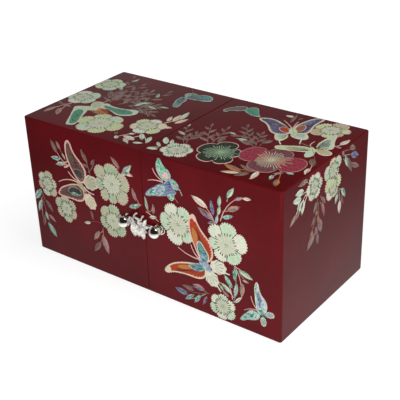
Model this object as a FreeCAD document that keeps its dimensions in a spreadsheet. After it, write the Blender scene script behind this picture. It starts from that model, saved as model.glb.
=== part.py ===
import FreeCAD, Part
import Sketcher
import math
import os
import re

# Double jewellery box in red lacquer: two equal cubes hinged together along their
# back seam. Closed, their open faces meet; opened like a book, each shows three drawers.
# The frame has +X along the pair, +Y to the back, +Z up, and its origin on the table
# under the middle of the whole outline, clasp and hinge barrels included.

SIZES = {
    # the two boxes
    "box_width": 120.0,
    "box_depth": 120.0,
    "box_height": 120.0,
    "seam_gap": 0.4,
    "panel": 7.0,
    "corner_radius": 2.0,
    "edge_ease": 0.8,
    "mouth_ease": 0.4,
    "felt": 0.8,
    "felt_inset": 3.0,
    # shelves and drawers
    "shelf": 4.0,
    "drawer_setback": 12.0,
    "drawer_play": 0.3,
    "drawer_back_play": 1.0,
    "front_board": 6.0,
    "front_ease": 0.8,
    "tray_board": 3.0,
    "tray_base": 2.5,
    "tray_drop": 3.0,
    "lining": 2.5,
    "lining_play": 0.3,
    "roll_radius": 5.5,
    # drawer pulls
    "pull_radius": 3.4,
    "pull_length": 9.0,
    "pull_neck": 1.5,
    "pull_head": 2.6,
    # butt hinges on the back seam
    "hinge_edge": 27.0,
    "hinge_length": 30.0,
    "leaf": 0.8,
    "leaf_width": 6.0,
    "barrel": 2.0,
    "barrel_stand": 2.2,
    "pin": 0.9,
    "pin_play": 0.05,
    "knuckle_play": 0.1,
    # clasp on the front seam
    "knob_spread": 15.0,
    "knob_rise": 60.0,
    "knob_ball": 4.75,
    "knob_stand": 6.2,
    "knob_neck": 1.7,
    "shank_depth": 5.0,
    "rosette": 4.4,
    "rosette_height": 0.8,
    "arm": 1.2,
    "arm_play": 0.15,
    "arm_turn_play": 0.05,
    "arm_eye": 3.6,
    "arm_bar": 3.2,
    "hook_play": 0.4,
    "hook_lip": 2.0,
    "flower_offset": 1.5,
    "flower_drop": 1.0,
    "petal_root": 0.8,
    "petal_tip": 9.5,
    "petal_half_width": 2.8,
    "petal_height": 2.4,
    "petal_rim": 0.6,
    "petal_dish": 0.9,
    "bud_tip": 11.0,
    "bud_half_width": 1.3,
    "bud_height": 1.6,
    "heart": 1.6,
    "heart_height": 3.4,
    # mother-of-pearl
    "shell": 0.2,
    "shell_gap": 0.15,
    "shell_margin": 2.5,
}

DRAWERS = ("lower", "middle", "upper")
PETALS = 5
BUD_ANGLES = (126, 165)
RING_ROLLS = 3

doc = FreeCAD.newDocument("double_lacquer_box")
sheet = doc.addObject("Spreadsheet::Sheet", "sizes")
for row, (word, value) in enumerate(SIZES.items(), 1):
    sheet.set(f"A{row}", word)
    sheet.set(f"B{row}", str(value))
    sheet.setAlias(f"B{row}", word)
doc.recompute()

# Places that many pieces share, as formulas of the sheet.
MIDDLE = "((knob_stand + knob_ball - barrel_stand - barrel) / 2)"
FRONT = f"({MIDDLE} - box_depth / 2)"
BACK = f"({MIDDLE} + box_depth / 2)"
MOUTH = "(-seam_gap / 2)"
SIDE = "(-seam_gap / 2 - box_width)"
BASE = "felt"
TOP = "(felt + box_height)"
DRAWER_FACE = f"({MOUTH} - drawer_setback)"
OPENING = f"((box_height - 2 * panel - {len(DRAWERS) - 1} * shelf) / {len(DRAWERS)})"
BARREL_Y = f"({BACK} + barrel_stand)"

nodes = {}


def formula(text):
    """The same formula with each size's word pointing at its cell."""
    return re.sub(r"[a-z_]+", lambda m: f"sizes.{m.group()}" if m.group() in SIZES else m.group(), str(text))


def size(text):
    """The present value of a formula."""
    value = sheet.evalExpression(formula(text))
    return float(getattr(value, "Value", value))


def bind(thing, **formulas):
    for path, text in formulas.items():
        thing.setExpression(path, formula(text))


def place(thing, x, y, z, turn=None):
    if turn is not None:
        thing.Placement.Rotation = turn
    for axis, text in (("x", x), ("y", y), ("z", z)):
        thing.setExpression(f"Placement.Base.{axis}", formula(text))
    return thing


def node(label, thing):
    thing.Label = label
    nodes[label] = thing
    return thing


def turned(axis, degrees):
    return FreeCAD.Rotation(FreeCAD.Vector(*axis), degrees)


# Local +Z points out of the front, out of the right side with local +Y up, or along +X
# out of the mouth.
OUT_OF_FRONT = turned((1, 0, 0), 90)
OUT_OF_SIDE = turned((0, 0, 1), 90).multiply(OUT_OF_FRONT)
OUT_OF_MOUTH = turned((0, 1, 0), 90)


def box(name, low, high):
    """A block between two corners, each given as three formulas."""
    block = doc.addObject("Part::Box", name)
    place(block, *low)
    bind(
        block,
        Length=f"({high[0]}) - ({low[0]})",
        Width=f"({high[1]}) - ({low[1]})",
        Height=f"({high[2]}) - ({low[2]})",
    )
    return block


def rod(name, radius, length, at, turn=None):
    cylinder = doc.addObject("Part::Cylinder", name)
    bind(cylinder, Radius=radius, Height=length)
    return place(cylinder, *at, turn)


def group(name, pieces):
    """Separate solids kept together, none of them joined."""
    compound = doc.addObject("Part::Compound", name)
    compound.Links = pieces
    return compound


def fuse(name, pieces):
    union = doc.addObject("Part::MultiFuse", name)
    union.Shapes = pieces
    return union


def cut(name, base, tools):
    result = doc.addObject("Part::Cut", name)
    result.Base = base
    result.Tool = tools[0] if len(tools) == 1 else group(f"{name}_tools", tools)
    return result


def common(name, base, tool):
    result = doc.addObject("Part::Common", name)
    result.Base = base
    result.Tool = tool
    return result


def mirrored(label, source):
    """The right-hand twin of a left-hand piece."""
    twin = doc.addObject("Part::Mirroring", label)
    twin.Source = source
    twin.Base = FreeCAD.Vector(0, 0, 0)
    twin.Normal = FreeCAD.Vector(1, 0, 0)
    return node(label, twin)


def outline(body, role, corners, offset=None):
    """A closed sketch on an origin plane through corners (x, y, bulge radius or None).

    A positive bulge radius makes the run to the next corner an arc that bows to the
    right of its direction, a negative one to the left.
    """
    sketch = body.newObject("Sketcher::SketchObject", f"{body.Name}_sketch")
    plane = next(f for f in body.Origin.OriginFeatures if f.Role == role)
    sketch.AttachmentSupport = [(plane, "")]
    sketch.MapMode = "FlatFace"
    if offset is not None:
        sketch.setExpression("AttachmentOffset.Base.z", formula(offset))
    points = [FreeCAD.Vector(size(x), size(y), 0) for x, y, _ in corners]
    count = len(corners)
    for i, (_, _, bulge) in enumerate(corners):
        start, end = points[i], points[(i + 1) % count]
        if bulge is None:
            sketch.addGeometry(Part.LineSegment(start, end))
            continue
        radius = abs(size(bulge))
        chord = end - start
        aside = FreeCAD.Vector(chord.y, -chord.x, 0).normalize() * (1 if size(bulge) > 0 else -1)
        sagitta = radius - math.sqrt(max(0.0, radius**2 - chord.Length**2 / 4))
        sketch.addGeometry(Part.Arc(start, start + chord / 2 + aside * sagitta, end))
    for i, (x, y, bulge) in enumerate(corners):
        arc = sketch.Geometry[i]
        after = (i + 1) % count
        backwards = bulge is not None and size(bulge) < 0
        ends_at = 1 if backwards else 2
        next_bulge = corners[after][2]
        starts_at = 2 if next_bulge is not None and size(next_bulge) < 0 else 1
        sketch.addConstraint(Sketcher.Constraint("Coincident", i, ends_at, after, starts_at))
        here = 2 if backwards else 1
        for kind, text in (("DistanceX", x), ("DistanceY", y)):
            index = sketch.addConstraint(Sketcher.Constraint(kind, -1, 1, i, here, size(text)))
            sketch.setExpression(f"Constraints[{index}]", formula(text))
        if bulge is not None:
            index = sketch.addConstraint(Sketcher.Constraint("Radius", i, arc.Radius))
            sketch.setExpression(f"Constraints[{index}]", formula(f"abs({bulge})"))
    return sketch


def feature(body, kind, sketch, **formulas):
    thing = body.newObject(f"PartDesign::{kind}", f"{body.Name}_{kind.lower()}")
    thing.Profile = sketch
    bind(thing, **formulas)
    return thing


def dressed(body, kind, picked, **formulas):
    """A Fillet or Chamfer on the edges of the body's present tip that the test picks."""
    doc.recompute()
    tip = body.Tip
    names = [f"Edge{i}" for i, edge in enumerate(tip.Shape.Edges, 1) if picked(edge.BoundBox)]
    dressing = body.newObject(f"PartDesign::{kind}", f"{body.Name}_{kind.lower()}")
    dressing.Base = (tip, names)
    bind(dressing, **formulas)


def turned_piece(name, corners, at, turn):
    """A lathe piece: half outlines (radius, height) spun round local +Z."""
    body = doc.addObject("PartDesign::Body", name)
    sketch = outline(body, "XZ_Plane", corners)
    spin = body.newObject("PartDesign::Revolution", f"{name}_spin")
    spin.Profile = sketch
    spin.ReferenceAxis = (sketch, ["V_Axis"])
    spin.Angle = 360
    place(body, *at, turn)
    return body


def near(a, b):
    return abs(a - b) < 1e-4


# The left box: one rounded block, hollowed from its mouth, then parted along 45 degree
# mitres into five boards. Wood cores under red lacquer.


def carcass():
    body = doc.addObject("PartDesign::Body", "left_carcass")
    place(body, SIDE, FRONT, BASE)
    block = outline(
        body,
        "XY_Plane",
        [
            ("0", "0", None),
            ("box_width", "0", None),
            ("box_width", "box_depth", None),
            ("0", "box_depth", None),
        ],
    )
    feature(body, "Pad", block, Length="box_height")
    width, height = size("box_width"), size("box_height")
    dressed(body, "Fillet", lambda b: near(b.XMax, 0) and near(b.ZLength, height), Radius="corner_radius")

    def on_top_or_base(b):
        level = near(b.ZMin, b.ZMax) and (near(b.ZMin, 0) or near(b.ZMin, height))
        return level and not near(b.XMin, width)

    dressed(body, "Chamfer", on_top_or_base, Size="edge_ease")
    dressed(body, "Chamfer", lambda b: near(b.XMin, width), Size="mouth_ease")
    mouth = outline(
        body,
        "YZ_Plane",
        [
            ("panel", "panel", None),
            ("box_depth - panel", "panel", None),
            ("box_depth - panel", "box_height - panel", None),
            ("panel", "box_height - panel", None),
        ],
        offset="box_width",
    )
    feature(body, "Pocket", mouth, Length="box_width - panel")
    return body


def mitre(name, outer, inner, at, turn=None, outside_first=True):
    """The wedge that parts one board from the carcass.

    outer and inner are (low x, high x, low z, high z) of its outside and inside faces.
    """
    wedge = doc.addObject("Part::Wedge", name)
    first, second = (outer, inner) if outside_first else (inner, outer)
    keys = ("Xmin", "Xmax", "Zmin", "Zmax", "X2min", "X2max", "Z2min", "Z2max")
    bind(wedge, Ymin="0", Ymax="panel", **dict(zip(keys, first + second)))
    return place(wedge, *at, turn)


def carcass_boards(body):
    wide = ("0", "box_width", "0", "box_height")
    wide_in = ("panel", "box_width", "panel", "box_height - panel")
    flat = ("0", "box_width", "0", "box_depth")
    flat_in = ("panel", "box_width", "panel", "box_depth - panel")
    deep = ("0", "box_depth", "0", "box_height")
    deep_in = ("panel", "box_depth - panel", "panel", "box_height - panel")
    lying, sideways = turned((1, 0, 0), 90), turned((0, 0, 1), -90)
    wedges = {
        "front": mitre("mitre_front", wide, wide_in, (SIDE, FRONT, BASE)),
        "back": mitre("mitre_back", wide, wide_in, (SIDE, f"{BACK} - panel", BASE), None, False),
        "base": mitre("mitre_base", flat, flat_in, (SIDE, BACK, BASE), lying),
        "top": mitre("mitre_top", flat, flat_in, (SIDE, BACK, f"{TOP} - panel"), lying, False),
        "side": mitre("mitre_side", deep, deep_in, (SIDE, BACK, BASE), sideways),
    }
    return {part: common(f"raw_{part}", body, wedge) for part, wedge in wedges.items()}


# Butt hinges: brass leaves let flush into the mouth edge of the back boards, their
# knuckles standing behind the boxes on a pin. The left leaf has the two outer knuckles.

HINGES = {"lower": f"({BASE} + hinge_edge)", "upper": f"({TOP} - hinge_edge)"}
KNUCKLE = "(hinge_length / 3)"


def leaf_plate(name, middle):
    return box(
        name,
        (f"{MOUTH} - leaf", f"{BACK} - leaf_width", f"{middle} - hinge_length / 2"),
        (MOUTH, BACK, f"{middle} + hinge_length / 2"),
    )


def leaf_knuckle(name, low, high, bore):
    """A knuckle with the strip that joins it to its leaf, before its bore is cut."""
    barrel = rod(f"{name}_barrel", "barrel", f"({high}) - ({low})", ("0", BARREL_Y, low))
    strip = box(f"{name}_strip", (f"{MOUTH} - leaf", BACK, low), (MOUTH, BARREL_Y, high))
    hole = rod(f"{name}_bore", bore, f"({high}) - ({low})", ("0", BARREL_Y, low))
    return barrel, strip, hole


def hinge_leaf(name, middle, knuckles, bore):
    pieces, holes = [leaf_plate(f"{name}_plate", middle)], []
    for i, (low, high) in enumerate(knuckles):
        barrel, strip, hole = leaf_knuckle(f"{name}_knuckle{i}", low, high, bore)
        pieces += [barrel, strip]
        holes.append(hole)
    return cut(name, fuse(f"{name}_solid", pieces), holes)


def hinge(which, middle):
    foot, head = f"({middle} - hinge_length / 2)", f"({middle} + hinge_length / 2)"
    outer = [(foot, f"{foot} + {KNUCKLE}"), (f"{head} - {KNUCKLE}", head)]
    inner = [(f"{foot} + {KNUCKLE} + knuckle_play", f"{head} - {KNUCKLE} - knuckle_play")]
    node(f"{which}_hinge_left_leaf", hinge_leaf(f"{which}_left_leaf", middle, outer, "pin"))
    right = hinge_leaf(f"{which}_right_leaf_source", middle, inner, "pin + pin_play")
    mirrored(f"{which}_hinge_right_leaf", right)
    node(f"{which}_hinge_pin", rod(f"{which}_pin", "pin", "hinge_length", ("0", BARREL_Y, foot)))


# Clasp: a round knob on each box, beside the seam. The left one carries the arm, whose
# hook drops over the neck of the right one, and the arm carries a cast flower.

KNOB_Z = f"({BASE} + knob_rise)"
ARM_BACK = "(rosette_height + arm_play)"
ARM_FRONT = f"({ARM_BACK} + arm)"
SHOULDER = f"({ARM_FRONT} + arm_play)"


def clasp_knob():
    corners = [
        ("0", "-shank_depth", None),
        ("knob_neck", "-shank_depth", None),
        ("knob_neck", SHOULDER, None),
        ("knob_ball", "knob_stand", "knob_ball"),
        ("0", "knob_stand + knob_ball", None),
    ]
    return turned_piece("pivot_knob", corners, ("-knob_spread", FRONT, KNOB_Z), OUT_OF_FRONT)


def rosette():
    at = ("-knob_spread", FRONT, KNOB_Z)
    disc = rod("rosette_disc", "rosette", "rosette_height", at, OUT_OF_FRONT)
    return cut("left_rosette", disc, [rod("rosette_hole", "knob_neck", "rosette_height", at, OUT_OF_FRONT)])


def clasp_arm():
    back = f"{FRONT} - {ARM_BACK}"
    hook_radius = "knob_neck + hook_play + hook_lip"
    slot_radius = "knob_neck + hook_play"
    pivot, catch = ("-knob_spread", back, KNOB_Z), ("knob_spread", back, KNOB_Z)
    eye = rod("arm_eye", "arm_eye", "arm", pivot, OUT_OF_FRONT)
    hook = rod("arm_hook", hook_radius, "arm", catch, OUT_OF_FRONT)
    low = ("-knob_spread", f"{FRONT} - {ARM_FRONT}", f"{KNOB_Z} - arm_bar / 2")
    bar = box("arm_bar", low, ("knob_spread", back, f"{KNOB_Z} + arm_bar / 2"))
    bore = rod("arm_bore", "knob_neck + arm_turn_play", "arm", pivot, OUT_OF_FRONT)
    seat = rod("arm_seat", slot_radius, "arm", catch, OUT_OF_FRONT)
    slot = box(
        "arm_slot",
        (f"knob_spread - ({slot_radius})", f"{FRONT} - {ARM_FRONT}", f"{KNOB_Z} - ({hook_radius})"),
        (f"knob_spread + {slot_radius}", back, KNOB_Z),
    )
    return cut("arm", fuse("arm_solid", [eye, bar, hook]), [bore, seat, slot])


def lens(root, tip, half_width, degrees):
    """A pointed petal or leaf outline from root to tip, turned about the centre."""
    c, s = math.cos(math.radians(degrees)), math.sin(math.radians(degrees))
    chord = f"(({tip}) - ({root}))"
    bow = f"(({chord} ^ 2 / 4 + ({half_width}) ^ 2) / (2 * ({half_width})))"
    return [
        (f"({root}) * ({c})", f"({root}) * ({s})", bow),
        (f"({tip}) * ({c})", f"({tip}) * ({s})", bow),
    ]


def clasp_flower():
    """Dished petals with raised rims round a small heart, and two buds behind them."""
    body = doc.addObject("PartDesign::Body", "flower")
    petal = outline(body, "XY_Plane", lens("petal_root", "petal_tip", "petal_half_width", 270))
    pad = feature(body, "Pad", petal, Length="petal_height")
    inside = ("petal_root + 2 * petal_rim", "petal_tip - 2 * petal_rim", "petal_half_width - petal_rim")
    dish = outline(body, "XY_Plane", lens(*inside, 270), offset="petal_height")
    hollow = feature(body, "Pocket", dish, Length="petal_dish")
    ring = body.newObject("PartDesign::PolarPattern", "petal_ring")
    ring.Originals = [pad, hollow]
    ring.Axis = (petal, ["N_Axis"])
    ring.Angle = 360
    ring.Occurrences = PETALS
    body.Tip = ring
    for degrees in BUD_ANGLES:
        bud = outline(body, "XY_Plane", lens("0", "bud_tip", "bud_half_width", degrees))
        feature(body, "Pad", bud, Length="bud_height")
    heart = outline(
        body,
        "XZ_Plane",
        [
            ("0", "0", None),
            ("heart", "0", None),
            ("heart", "heart_height", None),
            ("0", "heart_height", None),
        ],
    )
    spin = body.newObject("PartDesign::Revolution", "heart_spin")
    spin.Profile = heart
    spin.ReferenceAxis = (heart, ["V_Axis"])
    spin.Angle = 360
    return place(body, "flower_offset", f"{FRONT} - {ARM_FRONT}", f"{KNOB_Z} - flower_drop", OUT_OF_FRONT)


# Drawers: a lacquered front board, a tray of thin boards behind it, a velvet lining and
# a turned pull. The upper drawer also holds padded rolls for rings.


def drawer_floor(level):
    return f"({BASE} + panel + {level} * ({OPENING} + shelf) + drawer_play)"


DRAWER_HEIGHT = f"({OPENING} - 2 * drawer_play)"
DRAWER_NEAR = f"({FRONT} + panel + drawer_play)"
DRAWER_FAR = f"({BACK} - panel - drawer_play)"
TRAY_START = f"({SIDE} + panel + drawer_back_play)"
TRAY_END = f"({DRAWER_FACE} - front_board)"


def drawer_front(level):
    name = f"{DRAWERS[level]}_front"
    body = doc.addObject("PartDesign::Body", name)
    place(body, TRAY_END, DRAWER_NEAR, drawer_floor(level))
    wide = f"({DRAWER_FAR} - {DRAWER_NEAR})"
    face = outline(
        body,
        "YZ_Plane",
        [
            ("0", "0", None),
            (wide, "0", None),
            (wide, DRAWER_HEIGHT, None),
            ("0", DRAWER_HEIGHT, None),
        ],
    )
    feature(body, "Pad", face, Length="front_board")
    dressed(body, "Chamfer", lambda b: near(b.XMin, size("front_board")), Size="front_ease")
    return body


def drawer_tray(level):
    name, floor = f"{DRAWERS[level]}_tray", drawer_floor(level)
    deck = f"{floor} + tray_base"
    rim = f"{floor} + {DRAWER_HEIGHT} - tray_drop"
    near_side = f"{DRAWER_NEAR} + tray_board"
    far_side = f"{DRAWER_FAR} - tray_board"
    behind = f"{TRAY_START} + tray_board"
    boards = [
        box(f"{name}_base", (TRAY_START, DRAWER_NEAR, floor), (TRAY_END, DRAWER_FAR, deck)),
        box(f"{name}_near", (TRAY_START, DRAWER_NEAR, deck), (TRAY_END, near_side, rim)),
        box(f"{name}_far", (TRAY_START, far_side, deck), (TRAY_END, DRAWER_FAR, rim)),
        box(f"{name}_back", (TRAY_START, near_side, deck), (behind, far_side, rim)),
    ]
    return group(name, boards)


def drawer_lining(level):
    name = f"{DRAWERS[level]}_lining"
    deck = f"({drawer_floor(level)} + tray_base)"
    start = f"{TRAY_START} + tray_board + lining_play"
    near_side = f"({DRAWER_NEAR} + tray_board + lining_play)"
    far_side = f"({DRAWER_FAR} - tray_board - lining_play)"
    end = f"({TRAY_END} - lining_play)"
    pad = box(f"{name}_pad", (start, near_side, deck), (end, far_side, f"{deck} + lining"))
    if DRAWERS[level] != "upper":
        return pad
    pieces = [pad]
    along = turned((1, 0, 0), -90)
    for i in range(RING_ROLLS):
        at = (f"{end} - (2 * {i} + 1) * roll_radius", near_side, f"{deck} + lining + roll_radius")
        roll = rod(f"{name}_roll{i}", "roll_radius", f"{far_side} - {near_side}", at, along)
        pieces.append(roll)
    return group(name, pieces)


def drawer_pull(level):
    corners = [
        ("0", "0", None),
        ("pull_neck", "0", None),
        ("pull_neck", "pull_length - pull_head", None),
        ("pull_radius", "pull_length - pull_head", None),
        ("pull_radius", "pull_length", None),
        ("0", "pull_length", None),
    ]
    height = f"{drawer_floor(level)} + {DRAWER_HEIGHT} / 2"
    middle = f"({DRAWER_NEAR} + {DRAWER_FAR}) / 2"
    return turned_piece(f"{DRAWERS[level]}_pull", corners, (DRAWER_FACE, middle, height), OUT_OF_MOUTH)


# Mother-of-pearl: thin plates cut as petals, wings and leaves, laid on the lacquer.
# Places are steps on a face of this many steps each way, so they follow the real face.

FACE_STEPS = 120

# Middle, half width and half height of each flower.
FLOWERS = {
    "left_front": [(90, 84.5, 19, 17), (88, 52, 14, 14.5), (18.5, 65, 11, 12.5), (37.5, 48, 13, 12)],
    "right_front": [(32, 69, 17, 17), (75, 67, 18, 16), (70, 12.5, 12, 11)],
    "left_top": [(12, 89, 14, 14), (12, 55, 15, 14), (62, 22, 21, 19), (97, 37, 16, 15)],
    "right_top": [(97, 104, 14, 14), (22, 15, 12.5, 12), (50, 29, 17, 17), (88, 37, 25, 20)],
    "right_side": [(67, 109, 14, 9), (41, 107, 11, 11), (67, 95, 12, 8)],
}
# Root, tip and half width of each butterfly wing.
WINGS = {
    "left_front": [(56, 75, 46, 110, 8), (57, 73, 30, 60, 6), (57, 75, 72, 82, 5), (58, 74, 68, 58, 6)],
    "right_front": [
        (54, 46, 43, 80, 8.5),
        (54, 43, 17, 25, 7),
        (57, 45, 74, 46, 5),
        (57, 43, 62, 28, 5),
        (23, 99, 15, 117, 6),
        (23, 97, 3, 85, 5),
        (25, 98, 36, 103, 4),
        (24, 96, 27, 86, 4),
        (104, 22, 100, 44, 5),
        (103, 20, 86, 8, 4),
        (105, 21, 115, 21, 3),
        (104, 19, 105, 9, 3),
    ],
    "left_top": [(46, 40, 73, 52, 6), (44, 38, 42, 7, 6), (92, 99, 108, 107, 6), (90, 97, 90, 78, 5)],
    "right_top": [
        (74, 87, 81, 119, 7),
        (72, 85, 40, 95, 7),
        (76, 85, 90, 80, 5.5),
        (74, 83, 72, 68, 5.5),
        (22, 102, 38, 97, 6),
        (20, 102, 7, 93, 5),
        (105, 66, 104, 98, 6.5),
        (104, 64, 78, 58, 6),
    ],
    "right_side": [],
}
# Root and tip of each leaf.
LEAVES = {
    "left_front": [
        (101, 96, 110, 105),
        (99, 101, 92, 107),
        (9, 57, 1, 47),
        (13, 28, 22, 17),
        (37, 92, 27, 91),
    ],
    "right_front": [
        (57, 92, 45, 97),
        (62, 84, 50, 89),
        (76, 104, 81, 112),
        (75, 94, 86, 100),
        (85, 49, 96, 45),
        (79, 32, 73, 40),
        (36, 12, 27, 13),
    ],
    "left_top": [(108, 68, 104, 54), (105, 13, 91, 16), (10, 28, 20, 17)],
    "right_top": [(79, 11, 65, 15), (107, 15, 110, 5), (117, 40, 119, 30), (48, 66, 42, 75)],
    "right_side": [
        (22, 105, 13, 108),
        (52, 76, 50, 67),
        (79, 80, 78, 70),
        (92, 110, 104, 106),
        (41, 66, 33, 60),
    ],
}
FLOWER_PETALS = 5
CLEFT = 0.86
SHOULDER_ANGLE = 0.3
WING_SHAPE = [(0, 0), (0.45, 1), (0.85, 0.8), (1, 0), (0.8, -0.6), (0.4, -0.9)]
LEAF_SHAPE = [(0, 0), (0.5, 1), (1, 0), (0.5, -1)]
LEAF_SLIMNESS = 0.17
LEAST_SHARE = 0.00028


def petalled(x, y, half_width, half_height):
    """Two shoulders and a cleft for each petal of a flower."""
    points = []
    for i in range(FLOWER_PETALS):
        for turn, reach in ((-SHOULDER_ANGLE, 1), (SHOULDER_ANGLE, 1), (0.5, CLEFT)):
            angle = 2 * math.pi * (i + turn) / FLOWER_PETALS
            across, up = half_width * reach * math.cos(angle), half_height * reach * math.sin(angle)
            points.append((x + across, y + up))
    return points


def along_line(root_x, root_y, tip_x, tip_y, half_width, shape):
    """A shape given as shares of its length and half width, laid from root to tip."""
    run_x, run_y = tip_x - root_x, tip_y - root_y
    length = math.hypot(run_x, run_y)
    side_x, side_y = -run_y / length * half_width, run_x / length * half_width
    return [(root_x + u * run_x + v * side_x, root_y + u * run_y + v * side_y) for u, v in shape]


def leaf_points(root_x, root_y, tip_x, tip_y):
    slim = math.hypot(tip_x - root_x, tip_y - root_y) * LEAF_SLIMNESS
    return along_line(root_x, root_y, tip_x, tip_y, slim, LEAF_SHAPE)


def inlay(label, width, height, pierced=None):
    """The plates of one face, each cut round those laid before it."""
    across, up = size(width) / FACE_STEPS, size(height) / FACE_STEPS
    outlines = [along_line(*wing, WING_SHAPE) for wing in WINGS[label]]
    outlines += [petalled(*flower) for flower in FLOWERS[label]]
    outlines += [leaf_points(*leaf) for leaf in LEAVES[label]]
    margin = size("shell_margin")
    corner = FreeCAD.Vector(margin, margin, 0)
    inside = Part.makePlane(size(width) - 2 * margin, size(height) - 2 * margin, corner)
    if pierced is not None:
        middle = FreeCAD.Vector(size(pierced[0]), size(pierced[1]), 0)
        ring = Part.makeCircle(size("rosette + shell_gap"), middle)
        inside = inside.cut(Part.Face(Part.Wire([ring])))
    least = LEAST_SHARE * size(width) * size(height)
    laid = []
    for points in outlines:
        corners = [FreeCAD.Vector(x * across, y * up, 0) for x, y in points]
        plate = Part.Face(Part.makePolygon(corners + corners[:1])).common(inside)
        for other in laid:
            if plate.BoundBox.intersect(other.BoundBox):
                plate = plate.cut(other)
        laid += [piece for piece in plate.Faces if piece.Area > least]
    thing = doc.addObject("Part::Feature", f"{label}_inlay")
    thickness = FreeCAD.Vector(0, 0, size("shell"))
    thing.Shape = Part.makeCompound([piece.extrude(thickness) for piece in laid])
    return node(f"{label}_inlay", thing)


# Put the left box together, cut its boards for the hinges and the clasp, and mirror
# whatever the right box has in common with it.

boards = carcass_boards(carcass())

seats = []
for which, middle in HINGES.items():
    hinge(which, middle)
    seats.append(leaf_plate(f"{which}_mortise", middle))
drilled = rod(
    "clasp_hole", "knob_neck", "shank_depth", ("-knob_spread", f"{FRONT} + shank_depth", KNOB_Z), OUT_OF_FRONT
)

left = {
    "top_panel": boards["top"],
    "base_panel": boards["base"],
    "side_panel": boards["side"],
    "front_panel": cut("front_board_cut", boards["front"], [drilled]),
    "back_panel": cut("back_board_cut", boards["back"], seats),
    "base_felt": box(
        "felt_sheet",
        (f"{SIDE} + felt_inset", f"{FRONT} + felt_inset", "0"),
        (f"{MOUTH} - felt_inset", f"{BACK} - felt_inset", "felt"),
    ),
    "clasp_rosette": rosette(),
}
for level in range(1, len(DRAWERS)):
    low = f"({BASE} + panel + {level} * {OPENING} + {level - 1} * shelf)"
    left[f"{('lower', 'upper')[level - 1]}_shelf"] = box(
        f"shelf{level}",
        (f"{SIDE} + panel", f"{FRONT} + panel", low),
        (DRAWER_FACE, f"{BACK} - panel", f"{low} + shelf"),
    )
for level, which in enumerate(DRAWERS):
    left[f"{which}_drawer_front"] = drawer_front(level)
    left[f"{which}_drawer_tray"] = drawer_tray(level)
    left[f"{which}_drawer_lining"] = drawer_lining(level)
    left[f"{which}_drawer_pull"] = drawer_pull(level)

for label, piece in left.items():
    node(f"left_{label}", piece)
    mirrored(f"right_{label}", piece)

pivot = node("clasp_pivot_knob", clasp_knob())
mirrored("clasp_catch_knob", pivot)
node("clasp_arm", clasp_arm())
node("clasp_flower", clasp_flower())

pierced = {
    "left": ("box_width + seam_gap / 2 - knob_spread", "knob_rise"),
    "right": ("knob_spread - seam_gap / 2", "knob_rise"),
}
for which, start in (("left", SIDE), ("right", f"(-{MOUTH})")):
    front = inlay(f"{which}_front", "box_width", "box_height", pierced[which])
    place(front, start, FRONT, BASE, OUT_OF_FRONT)
    place(inlay(f"{which}_top", "box_width", "box_depth"), start, FRONT, TOP)
side = inlay("right_side", "box_depth", "box_height")
place(side, f"(-{SIDE})", FRONT, BASE, OUT_OF_SIDE)
mirrored("left_side_inlay", side)

doc.recompute()

# Every object must have been made, and every piece must be a sound solid.
for thing in doc.Objects:
    if any(word in ("Invalid", "Error") for word in thing.State):
        raise RuntimeError(f"{thing.Label} could not be made: {thing.State}")
for label, piece in nodes.items():
    shape = piece.Shape
    if shape.isNull() or not shape.Solids or not shape.isValid():
        raise RuntimeError(f"{label} is not a sound solid")

os.makedirs("parts", exist_ok=True)
for label, piece in nodes.items():
    piece.Shape.exportStep(f"parts/{label}.step")
    print(label, len(piece.Shape.Solids), round(piece.Shape.Volume, 1))
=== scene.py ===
import math
import random

import bmesh
import bpy
from mathutils import Matrix, Vector


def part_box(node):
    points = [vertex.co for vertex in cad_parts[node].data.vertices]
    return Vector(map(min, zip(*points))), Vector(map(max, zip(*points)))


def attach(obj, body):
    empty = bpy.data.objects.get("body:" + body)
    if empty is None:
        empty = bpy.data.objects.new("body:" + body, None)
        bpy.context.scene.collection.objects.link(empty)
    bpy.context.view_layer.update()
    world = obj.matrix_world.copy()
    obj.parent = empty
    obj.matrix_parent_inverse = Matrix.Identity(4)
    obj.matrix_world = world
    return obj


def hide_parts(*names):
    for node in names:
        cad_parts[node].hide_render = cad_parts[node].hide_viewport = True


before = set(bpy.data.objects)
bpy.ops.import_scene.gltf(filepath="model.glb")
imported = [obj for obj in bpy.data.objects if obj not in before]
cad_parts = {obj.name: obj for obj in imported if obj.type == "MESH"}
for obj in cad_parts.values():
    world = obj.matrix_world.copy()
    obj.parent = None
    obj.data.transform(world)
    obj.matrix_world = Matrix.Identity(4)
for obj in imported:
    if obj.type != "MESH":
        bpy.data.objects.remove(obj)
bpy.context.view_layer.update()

# The two boxes. Each is a cube of five boards, rebated together under one unbroken coat of deep
# red lacquer, so it shows as a single rounded shell with a thin rim round its open face. The
# lacquer clouds a little and has the faint ripple of a hand finish. Its rounded edges are drawn
# lighter, partly as rubbed lacquer and partly as a painted highlight along them.

MM = 0.001
SKIN = 0.02 * MM
CORNER_RADIUS = 2.0 * MM
EDGE_EASE = 0.9 * MM
MOUTH_EASE = 0.4 * MM
TOUCH = 1e-6
SQUARE_ON = 0.999
# Faces of more square metres than this stay flat when a piece is shaded smooth.
BROAD_FACE = 0.0004
LACQUER_DEEP = "560a10"
LACQUER_WARM = "620c14"
# The colour of the rounded edges: rubbed lacquer, and partly a painted edge highlight.
LACQUER_RUBBED_HIGHLIT = "5a1114"
# Where a Mix node keeps its two colours, and the mixed one.
MIX_FIRST, MIX_SECOND, MIX_RESULT = 6, 7, 2


def colour(code):
    """Six hexadecimal digits as the scene-linear colour that a socket takes."""
    parts = [int(code[i : i + 2], 16) / 255 for i in (0, 2, 4)]
    return [p / 12.92 if p <= 0.04045 else ((p + 0.055) / 1.055) ** 2.4 for p in parts] + [1.0]


def connect(tree, made, inputs):
    """Give each input its value, or a link where the value is another node's socket."""
    for word, value in inputs.items():
        if isinstance(value, bpy.types.NodeSocket):
            tree.links.new(value, made.inputs[word])
        else:
            made.inputs[word].default_value = value


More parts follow.
